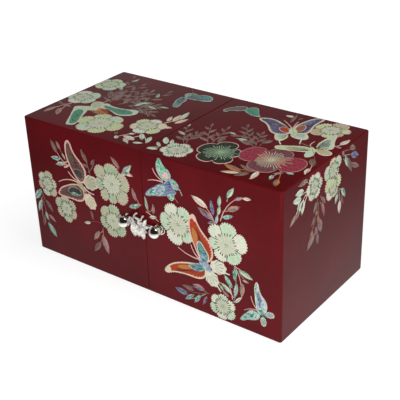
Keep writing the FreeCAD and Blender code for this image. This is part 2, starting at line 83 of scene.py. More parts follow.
def add(tree, kind, inputs=None, **settings):
    """A node with its settings and its inputs."""
    made = tree.nodes.new(kind)
    for word, value in settings.items():
        setattr(made, word, value)
    connect(tree, made, inputs or {})
    return made


def mixed(tree, factor, first, second):
    """A colour between two, by a factor."""
    inputs = {0: factor, MIX_FIRST: first, MIX_SECOND: second}
    return add(tree, "ShaderNodeMix", inputs, data_type="RGBA").outputs[MIX_RESULT]


def new_group(name, inputs, outputs):
    """An empty node group, with the sockets that lead into it and out of it."""
    tree = bpy.data.node_groups.new(name, "ShaderNodeTree")
    for word, kind, value in inputs:
        tree.interface.new_socket(word, in_out="INPUT", socket_type=kind).default_value = value
    for word, kind in outputs:
        tree.interface.new_socket(word, in_out="OUTPUT", socket_type=kind)
    return tree, tree.nodes.new("NodeGroupInput").outputs, tree.nodes.new("NodeGroupOutput").inputs


def use_group(tree, group, inputs):
    return add(tree, "ShaderNodeGroup", inputs, node_tree=group).outputs


def new_material(name, values):
    """A material, its tree and its Principled BSDF with plain socket values."""
    material = bpy.data.materials.new(name)
    material.use_nodes = True
    tree = material.node_tree
    surface = tree.nodes["Principled BSDF"]
    connect(tree, surface, values)
    return material, tree, surface


def make_mottle_group():
    """Two colours clouded into each other, as lacquer, aged metal and velvet are."""
    inputs = [
        ("Scale", "NodeSocketFloat", 20.0),
        ("Dark", "NodeSocketColor", (0, 0, 0, 1)),
        ("Light", "NodeSocketColor", (1, 1, 1, 1)),
    ]
    outputs = [("Color", "NodeSocketColor"), ("Mask", "NodeSocketFloat")]
    tree, given, result = new_group("mottle", inputs, outputs)
    place = add(tree, "ShaderNodeTexCoord").outputs["Object"]
    noise = add(tree, "ShaderNodeTexNoise", {"Vector": place, "Scale": given["Scale"], "Detail": 4.0})
    range_of = {"Value": noise.outputs["Fac"], "From Min": 0.35, "From Max": 0.65}
    mask = add(tree, "ShaderNodeMapRange", range_of).outputs["Result"]
    tree.links.new(mixed(tree, mask, given["Dark"], given["Light"]), result["Color"])
    tree.links.new(mask, result["Mask"])
    return tree


def make_handling_group():
    """Fine scuffs that change how sharply a polished surface reflects, and a slight ripple."""
    inputs = [
        ("Scale", "NodeSocketFloat", 300.0),
        ("Smooth", "NodeSocketFloat", 0.1),
        ("Scuffed", "NodeSocketFloat", 0.2),
    ]
    outputs = [("Roughness", "NodeSocketFloat"), ("Height", "NodeSocketFloat")]
    tree, given, result = new_group("handling", inputs, outputs)
    place = add(tree, "ShaderNodeTexCoord").outputs["Object"]
    fine = add(tree, "ShaderNodeTexNoise", {"Vector": place, "Scale": given["Scale"], "Detail": 6.0})
    range_of = {"Value": fine.outputs["Fac"], "From Min": 0.35, "From Max": 0.7}
    range_of |= {"To Min": given["Smooth"], "To Max": given["Scuffed"]}
    rough = add(tree, "ShaderNodeMapRange", range_of)
    tree.links.new(rough.outputs["Result"], result["Roughness"])
    tree.links.new(fine.outputs["Fac"], result["Height"])
    return tree


mottle = make_mottle_group()
handling = make_handling_group()


def make_lacquer():
    material, tree, surface = new_material("red_lacquer", {"Specular IOR Level": 0.1})
    tones = {"Scale": 22.0, "Dark": colour(LACQUER_DEEP), "Light": colour(LACQUER_WARM)}
    cloud = use_group(tree, mottle, tones)["Color"]
    # The rounded edges take a lighter colour, partly rubbed lacquer and partly a painted highlight.
    rubbed_and_highlit = add(tree, "ShaderNodeAttribute", attribute_name="rubbed_and_highlit").outputs["Fac"]
    touch = use_group(tree, handling, {"Scale": 420.0, "Smooth": 0.1, "Scuffed": 0.2})
    ripple = add(tree, "ShaderNodeBump", {"Strength": 0.08, "Distance": 0.0001, "Height": touch["Height"]})
    finish = {"Base Color": mixed(tree, rubbed_and_highlit, cloud, colour(LACQUER_RUBBED_HIGHLIT))}
    finish |= {"Roughness": touch["Roughness"], "Normal": ripple.outputs["Normal"]}
    connect(tree, surface, finish)
    return material


def corners_of(*nodes):
    """Lowest and highest corner of several CAD nodes together."""
    boxes = [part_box(n) for n in nodes]
    low = Vector([min(b[0][i] for b in boxes) for i in range(3)])
    high = Vector([max(b[1][i] for b in boxes) for i in range(3)])
    return low, high


def piece(name, bm, body, materials, replaced=()):
    """A finished mesh as an object that rides on its body."""
    mesh = bpy.data.meshes.new(name)
    bm.to_mesh(mesh)
    bm.free()
    thing = bpy.data.objects.new(name, mesh)
    bpy.context.scene.collection.objects.link(thing)
    for material in materials:
        mesh.materials.append(material)
    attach(thing, body)
    if replaced:
        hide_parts(*replaced)
    return thing


def shade_smooth(thing, degrees):
    """Smooth faces, with broad boards flat and the edges sharper than an angle crisp."""
    bm = bmesh.new()
    bm.from_mesh(thing.data)
    for face in bm.faces:
        face.smooth = face.calc_area() < BROAD_FACE
    for edge in bm.edges:
        edge.smooth = len(edge.link_faces) == 2 and edge.calc_face_angle() < math.radians(degrees)
    bm.to_mesh(thing.data)
    bm.free()


def bevel(bm, edges, width, segments):
    bmesh.ops.bevel(
        bm, geom=edges, offset=width, segments=segments, profile=0.5, affect="EDGES", material=-1
    )


def block(bm, size, middle):
    """A cube stretched to a size round its middle."""
    verts = bmesh.ops.create_cube(bm, size=1)["verts"]
    bmesh.ops.scale(bm, vec=size, verts=verts)
    bmesh.ops.translate(bm, vec=middle, verts=verts)
    return verts


BOARDS = ("top_panel", "base_panel", "side_panel", "front_panel", "back_panel")
lacquer = make_lacquer()
box_of = {side: corners_of(*(f"{side}_{board}" for board in BOARDS)) for side in ("left", "right")}
side_low, side_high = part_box("left_side_panel")
board_thickness = side_high.x - side_low.x


def make_box(side, mouth_sign):
    """The shell of five boards, rounded outside, with a hollow that opens at the seam."""
    low, high = box_of[side]
    low, high = low + Vector((SKIN,) * 3), high - Vector((SKIN,) * 3)
    bm = bmesh.new()
    block(bm, high - low, (high + low) / 2)
    mouth_x = high.x if mouth_sign > 0 else low.x

    def at_mouth(vert):
        return abs(vert.co.x - mouth_x) < TOUCH

    def upright(edge):
        return abs(edge.verts[0].co.z - edge.verts[1].co.z) > board_thickness

    def on_rim(edge):
        return any(all(abs(v.co.z - level) < TOUCH for v in edge.verts) for level in (low.z, high.z))

    def in_mouth(part):
        return all(at_mouth(v) for v in part.verts)

    bevel(bm, [e for e in bm.edges if upright(e) and not at_mouth(e.verts[0])], CORNER_RADIUS, 6)
    bevel(bm, [e for e in bm.edges if on_rim(e) and not in_mouth(e)], EDGE_EASE, 3)
    bevel(bm, [e for e in bm.edges if in_mouth(e)], MOUTH_EASE, 2)
    opening = max((f for f in bm.faces if in_mouth(f)), key=lambda f: f.calc_area())
    rim = list(opening.edges)
    bmesh.ops.delete(bm, geom=[opening], context="FACES_ONLY")
    inside = high - low - Vector((board_thickness, 2 * board_thickness, 2 * board_thickness))
    hollow = block(bm, inside, (high + low) / 2 + Vector((mouth_sign * board_thickness / 2, 0, 0)))
    lid = next(f for v in hollow for f in v.link_faces if in_mouth(f))
    rim += lid.edges
    bmesh.ops.delete(bm, geom=[lid], context="FACES_ONLY")
    bmesh.ops.triangle_fill(bm, edges=rim, use_beauty=True, normal=(mouth_sign, 0, 0))
    bmesh.ops.recalc_face_normals(bm, faces=bm.faces)
    # Marks the rounded faces, which the lacquer draws lighter as wear and as a painted highlight.
    rubbed_and_highlit = bm.loops.layers.float.new("rubbed_and_highlit")
    for face in bm.faces:
        for loop in face.loops:
            loop[rubbed_and_highlit] = float(max(abs(c) for c in face.normal) < SQUARE_ON)
    boards = [f"{side}_{board}" for board in BOARDS]
    shell = piece(f"{side}_box_shell", bm, f"{side}_box", [lacquer], boards)
    shade_smooth(shell, 40)


make_box("left", 1)
make_box("right", -1)

# Mother-of-pearl. Flowers, butterflies and sprays are sawn from thin abalone and pearl
# shell, laid plate by plate on the lacquer and polished. Their edges are nicked with a fine
# saw, and dark lines for stamens, veins and petal gaps are scored into them.

# The shell's thickness, how much higher each plate laid is than the last, and half the
# height of a scored line.
SHELL = 0.12 * MM
LAYER = 0.003 * MM
SCORE = 0.0015 * MM
# Pieces of one flower or wing differ in height by these shares of a layer.
STEM_LIFT, FACE_LIFT, HEART_LIFT, TOP_LIFT = 0.2, 0.3, 0.4, 0.6
# Each tint of shell, and how much of the abalone's rainbow shows in it.
SHELL_TINTS = {
    "pearl": ("e6e8d2", 0.12),
    "mint": ("cbe0c0", 0.16),
    "warm": ("e8dcbc", 0.08),
    "heart": ("d8dbc0", 0.05),
    # The next two are pale shell darkened, as painted shade for the dimmer left front face; the first also
    # serves once on the left top.
    "shaded_linen": ("c2c09e", 0.1),
    "shaded_moss": ("b2c49c", 0.18),
    "rose": ("efc2b4", 0.08),
    "pink": ("b4766a", 0.16),
    "mauve": ("8c675a", 0.2),
    "sage": ("88aa90", 0.45),
    "green": ("4fc48f", 0.5),
    "jade": ("2f8a68", 0.1),
    "teal": ("197673", 0.3),
    "sea": ("66b5a6", 0.8),
    "sky": ("93b2c6", 0.4),
    "blue": ("2f4a8c", 0.35),
    "violet": ("4a3878", 0.3),
    "amber": ("c4741f", 0.05),
    "orange": ("b02e06", 0.0),
    "maroon": ("6a2d30", 0.05),
    "wine": ("961a3e", 0.0),
    "blush": ("96465a", 0.0),
    "bottle": ("0a4a26", 0.0),
    "indigo": ("3a2b6c", 0.12),
    "rust": ("94501f", 0.05),
    "tan": ("c4b48c", 0.1),
    "plum": ("6d2238", 0.03),
    "pine": ("03170d", 0.0),
    "ink": ("101216", 0.05),
    "lime": ("cfdea4", 0.12),
    "brown": ("865648", 0.15),
    "dusk": ("643e36", 0.1),
    "score": ("1f2018", 0.0),
    "faint": ("a2a48c", 0.0),
    "gap": ("3d1818", 0.0),
}
# The tint of a leaf's other half.
PARTNERS = {
    "pearl": "mint",
    "mint": "pearl",
    "warm": "rose",
    "rose": "pearl",
    "pink": "mauve",
    "mauve": "brown",
    "sage": "mint",
    "green": "sea",
    "sea": "green",
    "teal": "sea",
    "blue": "violet",
    "violet": "pink",
    "amber": "brown",
    "lime": "mint",
    "brown": "dusk",
    "dusk": "brown",
    "orange": "amber",
}


def shell_colour(word):
    """The tint, with the share that is plain shell kept beside it as its alpha."""
    code, rainbow = SHELL_TINTS[word]
    return colour(code)[:3] + [1 - rainbow]


def ramp(tree, factor, stops):
    """Colours by position along a factor."""
    made = add(tree, "ShaderNodeValToRGB", {"Fac": factor})
    while len(made.color_ramp.elements) < len(stops):
        made.color_ramp.elements.new(0.5)
    for element, (position, shade) in zip(made.color_ramp.elements, stops):
        element.position = position
        element.color = shade
    return made.outputs["Color"]


RAINBOW = ((0.36, "0d5155"), (0.43, "22b48a"), (0.5, "e6fbef"), (0.56, "f0a8cc"), (0.63, "4a52b8"))
GROWTH_LINE = "6b7058"


def make_shell_material():
    """Shell: its tint, the abalone's rainbow drifting over it, and growth lines along the plate."""
    material, tree, surface = new_material("mother_of_pearl", {"Specular IOR Level": 0.12})
    tint = add(tree, "ShaderNodeAttribute", attribute_name="tint")
    grain = add(tree, "ShaderNodeUVMap", uv_map="grain").outputs["UV"]
    stretched = add(tree, "ShaderNodeMapping", {"Vector": grain, "Scale": (0.16, 0.34, 1.0)})
    cloud = {"Vector": stretched.outputs["Vector"], "Scale": 1.0, "Detail": 2.0, "Distortion": 1.6}
    drift = add(tree, "ShaderNodeTexNoise", cloud).outputs["Fac"]
    rainbow = ramp(tree, drift, [(position, colour(code)) for position, code in RAINBOW])
    share = add(tree, "ShaderNodeMath", {0: 1.0, 1: tint.outputs["Alpha"]}, operation="SUBTRACT")
    shifted = mixed(tree, share.outputs[0], tint.outputs["Color"], rainbow)
    bands = {"Vector": grain, "Scale": 0.32, "Distortion": 5.0, "Detail": 3.0, "Detail Scale": 1.2}
    wave = add(tree, "ShaderNodeTexWave", bands, bands_direction="Y").outputs["Fac"]
    shade = add(tree, "ShaderNodeMapRange", {"Value": wave, "To Min": 0.0, "To Max": 0.26})
    touch = use_group(tree, handling, {"Scale": 600.0, "Smooth": 0.22, "Scuffed": 0.4})
    bump = add(tree, "ShaderNodeBump", {"Strength": 0.15, "Distance": 0.00005, "Height": wave})
    finish = {"Base Color": mixed(tree, shade.outputs["Result"], shifted, colour(GROWTH_LINE))}
    finish |= {"Roughness": touch["Roughness"], "Normal": bump.outputs["Normal"]}
    connect(tree, surface, finish)
    return material


shell_material = make_shell_material()
X, Y, Z = Vector((1, 0, 0)), Vector((0, 1, 0)), Vector((0, 0, 1))
left_low, left_high = box_of["left"]
right_low, right_high = box_of["right"]

# From here to the end of this section, lengths and places are in millimetres on a face.
FACE = (left_high.x - left_low.x) / MM
MARGIN = 1.5
# The nicks along a petal's edge, their depth, and how it comes and goes along a nick.
NICK_PITCH = 2.1
NICK = 1.6
NICK_CYCLE = (1, 0.2, 0, 0.2)
# How deep the gap between two petals reaches, as a share of the shorter petal.
NOTCH = 0.76
PETAL_RIM, CLEFT_RIM = 0.7, 0.8
STAMENS = 26
SEEDS = 7
RAYS = 36
HEART_STEPS, HEART_SHARE = 48, 0.5
# Veins run between these shares of the way from a wing's edge to its root.
VEIN_START, VEIN_END = 0.9, 0.3
ROOT_CLEAR = 9
TOOTH_LENGTH = 1.5
LOBE_STEPS, LOBE_SCALLOP, LOBE_FACE = 40, 0.12, 0.86
FAN_LINES, FAN_ANGLE = 5, 0.42
STEM_TAPER = 0.6
HALF_VEIN = 0.14
LEAF_STEPS = 6
SPLAY = 38
# Exponents that set how full a petal and a leaf are, and which way a leaf leans.
PETAL_BREADTH, PETAL_SHOULDER = 2.6, 0.7
LEAF_LEAN, LEAF_BELLY = 0.85, 0.9
# Widths at the root and the tip of what is scored or sawn as a short dash.
CLEFT_DASH = (0.12, 0.75)
FILAMENT_DASH = (0.14, 0.26)
ANTHER_DASH = (0.45, 1.0)
SEED_DASH = (0.3, 0.4)
RAY_DASH = (0.2, 0.55)
VEIN_DASH = (0.15, 0.35)
TOOTH_DASH = (1.2, 0.2)
FAN_DASH = (0.2, 0.5)
WING_VEIN_DASH = (0.2, 0.4)


def ray_at(angle):
    return Vector((math.cos(angle), math.sin(angle)))


def even_rays(count):
    return [ray_at(k * math.tau / count) for k in range(count)]


def along(start, bend, end, t):
    """A point on the curve from start to end that leans to a bend."""
    return start * (1 - t) ** 2 + bend * 2 * t * (1 - t) + end * t**2


def smooth_closed(points, cuts):
    """A closed run of points rounded through every one of them."""
    rounded = []
    count = len(points)
    for i in range(count):
        before, here, after, beyond = (Vector(points[(i + k) % count]) for k in (-1, 0, 1, 2))
        for t in (step / cuts for step in range(cuts)):
            straight = 2 * here + (after - before) * t
            bent = (2 * before - 5 * here + 4 * after - beyond) * t**2
            twisted = (3 * here - before - 3 * after + beyond) * t**3
            rounded.append(0.5 * (straight + bent + twisted))
    return rounded


def half_leaf(root, tip, half_width, hand):
    """One side of a pointed leaf, short of its vein."""
    run = tip - root
    side = Vector((-run.y, run.x)).normalized() * hand
    vein = side * HALF_VEIN
    shares = [i / LEAF_STEPS for i in range(1, LEAF_STEPS)]
    bulges = [half_width * math.sin(math.pi * s**LEAF_LEAN) ** LEAF_BELLY for s in shares]
    edge = [root + run * s + side * bulge for s, bulge in zip(shares, bulges)]
    return [root + vein, *edge, tip, tip + vein]


def strip(start, bend, end, root_width, tip_width, steps=6):
    """A band along a bent line, tapering from root to tip."""
    start, bend, end = Vector(start), Vector(bend), Vector(end)
    shares = [i / steps for i in range(steps + 1)]
    centre = [along(start, bend, end, t) for t in shares]
    sides = []
    for i, point in enumerate(centre):
        ahead = centre[min(i + 1, steps)] - centre[max(i - 1, 0)]
        width = root_width + (tip_width - root_width) * shares[i]
        across = Vector((-ahead.y, ahead.x)).normalized() * width / 2
        sides.append((point + across, point - across))
    return [s[0] for s in sides] + [s[1] for s in reversed(sides)]


def dash(start, end, root_width, tip_width):
    return strip(start, (start + end) / 2, end, root_width, tip_width, 1)


def petal_outline(middle, direction, spans, reach, clefts, nick):
    """A petal as a wedge of its flower, from the middle out, nicked along its edge."""
    nicks = max(3, round(math.radians(spans[0] + spans[1]) * reach / NICK_PITCH))
    steps = len(NICK_CYCLE) * nicks
    outline = [middle]
    for k in range(steps + 1):
        t = 2 * k / steps - 1
        hand = 1 if t > 0 else 0
        angle = math.radians(direction + t * spans[hand])
        radius = clefts[hand] + (reach - clefts[hand]) * (1 - abs(t) ** PETAL_BREADTH) ** PETAL_SHOULDER
        if 0 < k < steps:
            radius -= nick * NICK_CYCLE[k % len(NICK_CYCLE)]
        outline.append(middle + ray_at(angle) * radius)
    return outline


class Inlay:
    """The plates of one face, in millimetres from its lower left corner."""

    def __init__(self, name, origin, across, up, out):
        self.name = name
        self.place = Matrix((across, up, out)).transposed().to_4x4()
        self.place.translation = origin
        self.bm = bmesh.new()
        self.tint = self.bm.loops.layers.float_color.new("tint")
        self.grain = self.bm.loops.layers.uv.new("grain")
        self.laid = 0
        self.chance = random.Random(name)

    def paint(self, faces, tint, turn):
        """Each plate has its own colour, and its own direction of grain."""
        shift = self.chance.random() * 90
        c, s = math.cos(turn), math.sin(turn)
        for face in faces:
            for loop in face.loops:
                x, y = loop.vert.co.x, loop.vert.co.y
                loop[self.tint] = shell_colour(tint)
                loop[self.grain].uv = (x * c + y * s + shift, y * c - x * s + shift)

    def plate(self, outline, tint, rim=0.0, rim_tint="rose", turn=0.0, lift=0.0, scored=False):
        """One plate. Its rim may be of another shell, and a scored mark is thin and lies on plates."""
        height = SHELL + LAYER * (self.laid + lift)
        low, high = (height - SCORE, height + SCORE) if scored else (0, height)
        face = self.bm.faces.new([self.bm.verts.new((p[0], p[1], low / MM)) for p in outline])
        self.paint([face], tint, turn)
        faces = [face]
        if rim:
            face.normal_update()
            ring = bmesh.ops.inset_region(
                self.bm, faces=[face], thickness=rim, use_boundary=True, use_even_offset=True
            )["faces"]
            self.paint(ring, rim_tint, turn)
            faces += ring
        moved = bmesh.ops.extrude_face_region(self.bm, geom=faces)["geom"]
        for vert in moved:
            if isinstance(vert, bmesh.types.BMVert):
                vert.co.z = high / MM

    def score(self, start, end, widths, tint="score"):
        self.plate(dash(start, end, *widths), tint, lift=TOP_LIFT, scored=True)

    def flower(
        self, x, y, petals, tints=("pearl", "mint"), rim_tint="rose", nick=NICK, notch=NOTCH, heart=1.0
    ):
        """Petals as (direction in degrees, reach), round a heart unless its size is 0."""
        self.laid += 1
        middle = Vector((x, y))
        petals = sorted((direction % 360, reach) for direction, reach in petals)
        for i, (direction, reach) in enumerate(petals):
            before, after = petals[i - 1], petals[(i + 1) % len(petals)]
            spans = ((direction - before[0]) % 360 / 2, (after[0] - direction) % 360 / 2)
            clefts = [notch * min(reach, other[1]) for other in (before, after)]
            turn = math.radians(direction)
            self.plate(petal_outline(middle, direction, spans, reach, clefts, nick), rim_tint, turn=turn)
            inner = [cleft - CLEFT_RIM for cleft in clefts]
            face = petal_outline(middle, direction, spans, reach - PETAL_RIM, inner, nick * 0.8)
            self.plate(face, tints[i % len(tints)], turn=turn, lift=FACE_LIFT)
            gap = ray_at(math.radians(direction + spans[1])) * clefts[1]
            self.score(middle + gap * 0.6, middle + gap * 1.01, CLEFT_DASH, "gap")
        if heart:
            self.heart(middle, sum(reach for _, reach in petals) / len(petals), heart)

    def heart(self, middle, reach, size):
        """A round plate with stamens, each a filament and an anther, and a few seeds."""
        ring = reach * size * HEART_SHARE
        rim = [middle + ray * ring for ray in even_rays(HEART_STEPS)]
        nicked = [point.lerp(middle, 0.0 if k % 4 else 0.06) for k, point in enumerate(rim)]
        self.plate(nicked, "heart", lift=HEART_LIFT)
        for k in range(STAMENS):
            ray = ray_at(math.tau * (k + self.chance.uniform(-0.25, 0.25)) / STAMENS)
            far = ring * self.chance.uniform(0.86, 1.12)
            self.score(middle + ray * reach * 0.14, middle + ray * (far - 0.9), FILAMENT_DASH, "faint")
            self.score(middle + ray * (far - 1.0), middle + ray * (far + 1.2), ANTHER_DASH)
        for ray in even_rays(SEEDS):
            self.score(middle + ray * 0.5, middle + ray * self.chance.uniform(1.4, 2.4), SEED_DASH)

    def starburst(self, x, y, reach, glow, tints):
        """A pointed glow and its rays over the middle of a dark flower."""
        self.laid += 1
        middle = Vector((x, y))
        rays = even_rays(RAYS)
        points = [middle + ray * reach * (0.5, 0.34)[k % 2] for k, ray in enumerate(rays)]
        self.plate(points, glow, lift=FACE_LIFT)
        for k, ray in enumerate(rays):
            far = reach * self.chance.uniform(0.7, 1.1)
            self.plate(dash(middle + ray * 0.5, middle + ray * far, *RAY_DASH), tints[k % 2], lift=TOP_LIFT)

    def patch(self, points, tint, border="rose", width=0.9, turn=0.0, root=None):
        """A rounded plate in a border of another shell, with veins and teeth if it has a root."""
        self.laid += 1
        self.plate(smooth_closed(points, 4), tint, width, border, math.radians(turn))
        for point in smooth_closed(points, 2) if root else ():
            inward = Vector(root) - point
            if inward.length > ROOT_CLEAR:
                self.score(point + inward * VEIN_START, point + inward * VEIN_END, VEIN_DASH, "gap")
                inward.normalize()
                tooth_tip = point + inward * (width + TOOTH_LENGTH)
                self.score(point + inward * width * 0.8, tooth_tip, TOOTH_DASH, border)

    def lobe(self, x, y, half_width, half_height, tint, rim_tint="pearl", degrees=0):
        """A small scalloped plate, such as a hind wing, scored like a fan."""
        self.laid += 1
        middle = Vector((x, y))
        turn = Matrix.Rotation(math.radians(degrees), 2)

        def at(angle, across, up):
            ray = ray_at(angle)
            return turn @ Vector((half_width * across * ray.x, half_height * up * ray.y))

        outline = []
        for k in range(LOBE_STEPS):
            angle = math.tau * k / LOBE_STEPS
            scallop = LOBE_SCALLOP * abs(math.sin(4 * angle)) ** 3
            outline.append(middle + at(angle, 1, 1) * (1 - scallop))
        self.plate(outline, rim_tint)
        self.plate([middle + (point - middle) * LOBE_FACE for point in outline], tint, lift=FACE_LIFT)
        root = middle - at(0, 0.7, 0)
        for k in range(FAN_LINES):
            end = root + at(FAN_ANGLE * (k - FAN_LINES // 2), 1.35, 1.3)
            self.score(root.lerp(end, 0.3), end, FAN_DASH, "brown")

    def stem(self, start, bend, end, tint, width=0.6):
        self.plate(strip(start, bend, end, width, width * STEM_TAPER), tint, lift=STEM_LIFT)

    def leaf(self, root_x, root_y, tip_x, tip_y, tint, slim=0.17):
        """Two halves on either side of a bare vein."""
        root, tip = Vector((root_x, root_y)), Vector((tip_x, tip_y))
        run = tip - root
        turn = math.atan2(run.y, run.x)
        for hand, shade in ((1, tint), (-1, PARTNERS.get(tint, tint))):
            self.plate(half_leaf(root, tip, run.length * slim, hand), shade, turn=turn, lift=HEART_LIFT)

    def spray(self, start, bend, end, tints, length, count):
        """A bent stem with leaves on both sides, shorter toward its tip, and one at its end."""
        self.laid += 1
        self.stem(start, bend, end, tints[0], 0.5)
        start, bend, end = Vector(start), Vector(bend), Vector(end)
        for k in range(count):
            t = (k + 1) / count
            root = along(start, bend, end, t)
            ahead = ((bend - start) * (1 - t) + (end - bend) * t).normalized()
            splay = 0 if k == count - 1 else (SPLAY, -SPLAY)[k % 2]
            tip = root + Matrix.Rotation(math.radians(splay), 2) @ ahead * length * (1 - 0.35 * t)
            self.leaf(*root, *tip, tints[k % len(tints)], 0.16)

    def draw(self, stems, leaves):
        for stem in stems:
            self.stem(*stem)
        for leaf in leaves:
            self.leaf(*leaf)

    def finish(self, node_name, body):
        """Trim at the margins of the face, put in place and close."""
        for point, normal in (
            ((MARGIN, 0, 0), (-1, 0, 0)),
            ((FACE - MARGIN, 0, 0), (1, 0, 0)),
            ((0, MARGIN, 0), (0, -1, 0)),
            ((0, FACE - MARGIN, 0), (0, 1, 0)),
        ):
            every = list(self.bm.verts) + list(self.bm.edges) + list(self.bm.faces)
            cut = bmesh.ops.bisect_plane(
                self.bm, geom=every, plane_co=point, plane_no=normal, clear_outer=True
            )["geom_cut"]
            open_edges = [e for e in cut if isinstance(e, bmesh.types.BMEdge)]
            bmesh.ops.holes_fill(self.bm, edges=open_edges, sides=0)
        bmesh.ops.transform(self.bm, matrix=self.place @ Matrix.Scale(MM, 4), verts=self.bm.verts)
        bmesh.ops.recalc_face_normals(self.bm, faces=self.bm.faces)
        piece(self.name, self.bm, body, [shell_material], [node_name])


def round_petals(first, reaches):
    """Evenly spread petals, from the first one's direction in degrees."""
    return [(first + 360 * i / len(reaches), reach) for i, reach in enumerate(reaches)]


def left_front_picture():
    face = Inlay("left_front_shell", left_low, X, Z, -Y)
    stems = (
        ((45, 88), (36, 90), (29, 106), "rose"),
        ((44, 92), (39, 95), (36, 106), "brown"),
        ((46, 89), (38, 86), (31, 91), "rose"),
        ((68, 86), (66, 96), (61, 106), "brown"),
        ((66, 88), (72, 93), (74, 101), "brown"),
        ((99, 92), (101, 99), (110, 105), "green"),
        ((98, 95), (98, 102), (91, 107), "pink"),
        ((117, 74), (114, 78), (110, 87), "pink"),
        ((10, 57), (12, 48), (20, 40), "brown"),
        ((10, 52), (12, 38), (16, 28), "brown"),
        ((9, 50), (7, 40), (8, 26), "sage"),
        ((75, 46), (68, 47), (60, 42), "wine"),
        ((67, 47), (64, 50), (64, 54), "brown"),
        ((76, 42), (75, 32), (80, 20), "pink"),
        ((76, 40), (70, 34), (65, 29), "pink"),
        ((74, 31), (70, 24), (65, 18), "brown"),
    )
    leaves = (
        (34, 96, 28, 107, "brown"),
        (38, 100, 34, 107, "pink"),
        (37, 92, 26, 91, "green"),
        (41, 89, 31, 86, "sage"),
        (42, 93, 39, 98, "sage"),
        (66, 96, 60, 106, "brown"),
        (67, 92, 60, 94, "dusk"),
        (70, 95, 73, 101, "brown"),
        (99, 100, 91, 108, "pink"),
        (101, 95, 111, 106, "sage"),
        (103, 98, 112, 97, "rose"),
        (106, 70, 117, 74, "sea"),
        (113, 74, 118, 75, "rose"),
        (113, 77, 110, 87, "pink"),
        (10, 58, 0.5, 46, "green"),
        (9, 48, 4, 36, "sage"),
        (10, 34, 8, 23, "brown"),
        (12, 38, 14, 30, "sage"),
        (13, 28, 22, 16, "sea"),
        (15, 36, 23, 31, "pink"),
        (14, 49, 21, 40, "brown"),
        (63, 43, 56, 41, "pearl"),
        (65, 54, 66, 47, "brown"),
        (72, 38, 65, 28, "pink"),
        (75, 36, 80, 19, "pink"),
        (72, 28, 64, 17, "brown"),
    )
    face.draw(stems, leaves)
    # The flowers on this face take the darkened tints, painted shade for a face that is less lit.
    face.flower(18.5, 65, round_petals(75, (12.5, 11.5, 10.5, 11.5, 12, 10.5)), ("mint", "shaded_linen"))
    lower_wing = [
        (30, 60.5), (33.5, 66), (40, 70), (47, 73), (54, 74), (58.5, 71), (59.5, 66), (57.5, 61),
        (52, 58.8), (45, 59), (37, 58.6), (32, 58.8),
    ]
    face.patch(lower_wing, "maroon", "rose", 1.0, root=(57, 70))
    face.patch(
        [
            (41.5, 65.5), (44, 69.5), (50, 71.2), (55.5, 69.5), (56.5, 66), (52, 63.6), (46, 63),
        ],
        "ink", "sage", 0.8,
    )
    face.leaf(44, 64.8, 54, 65.2, "sea", 0.1)
    face.flower(37.5, 48, round_petals(35, (12, 12, 13, 12, 12.5, 11.5)), ("shaded_moss", "shaded_linen"))
    face.lobe(67.5, 79.5, 8, 6.5, "shaded_linen", degrees=15)
    face.lobe(65, 62.5, 7.5, 6, "warm", "rose", degrees=-50)
    petals = [(92, 17.2), (20, 18.2), (-48, 18.6), (-95, 17), (-122, 19), (-168, 18), (150, 19.5)]
    face.flower(90, 84.5, petals, ("shaded_linen", "shaded_moss"))
    face.flower(88, 52, round_petals(80, (15, 14.5, 14, 14.5, 14.5, 13.5)), ("shaded_linen", "shaded_moss"), "pearl")
    upper_wing = [
        (46.5, 110.5), (43.6, 107), (43, 100), (44.3, 93), (47, 87), (50.5, 81.5), (56, 76.5),
        (60.5, 78), (63, 83), (63.2, 88.5), (60.5, 93), (56.5, 97), (53, 100.5), (50.8, 104.5),
        (49.4, 108.5),
    ]
    face.patch(upper_wing, "maroon", "rose", 1.3, root=(56, 80))
    face.patch([(46, 104), (46.2, 97), (49, 91), (53, 89), (52, 95), (49, 100)], "dusk", "maroon", 0.3)
    face.patch([(49.5, 86), (54, 88), (59, 87), (60.5, 83), (58, 79.5), (53, 81)], "ink", "brown", 0.8)
    face.stem((60, 74), (62, 70), (70, 70), "rose", 1.2)
    face.stem((54, 76), (43, 78), (32, 71), "rose", 1.0)
    face.stem((55, 77), (48, 78), (44, 83), "rose", 1.0)
    face.leaf(52, 78, 62, 69, "tan", 0.18)
    face.stem((40, 86), (44, 86), (47, 91), "rose", 1.4)
    face.stem((40, 90), (43, 90), (46, 93), "rose", 1.0)
    face.finish("left_front_inlay", "left_box")


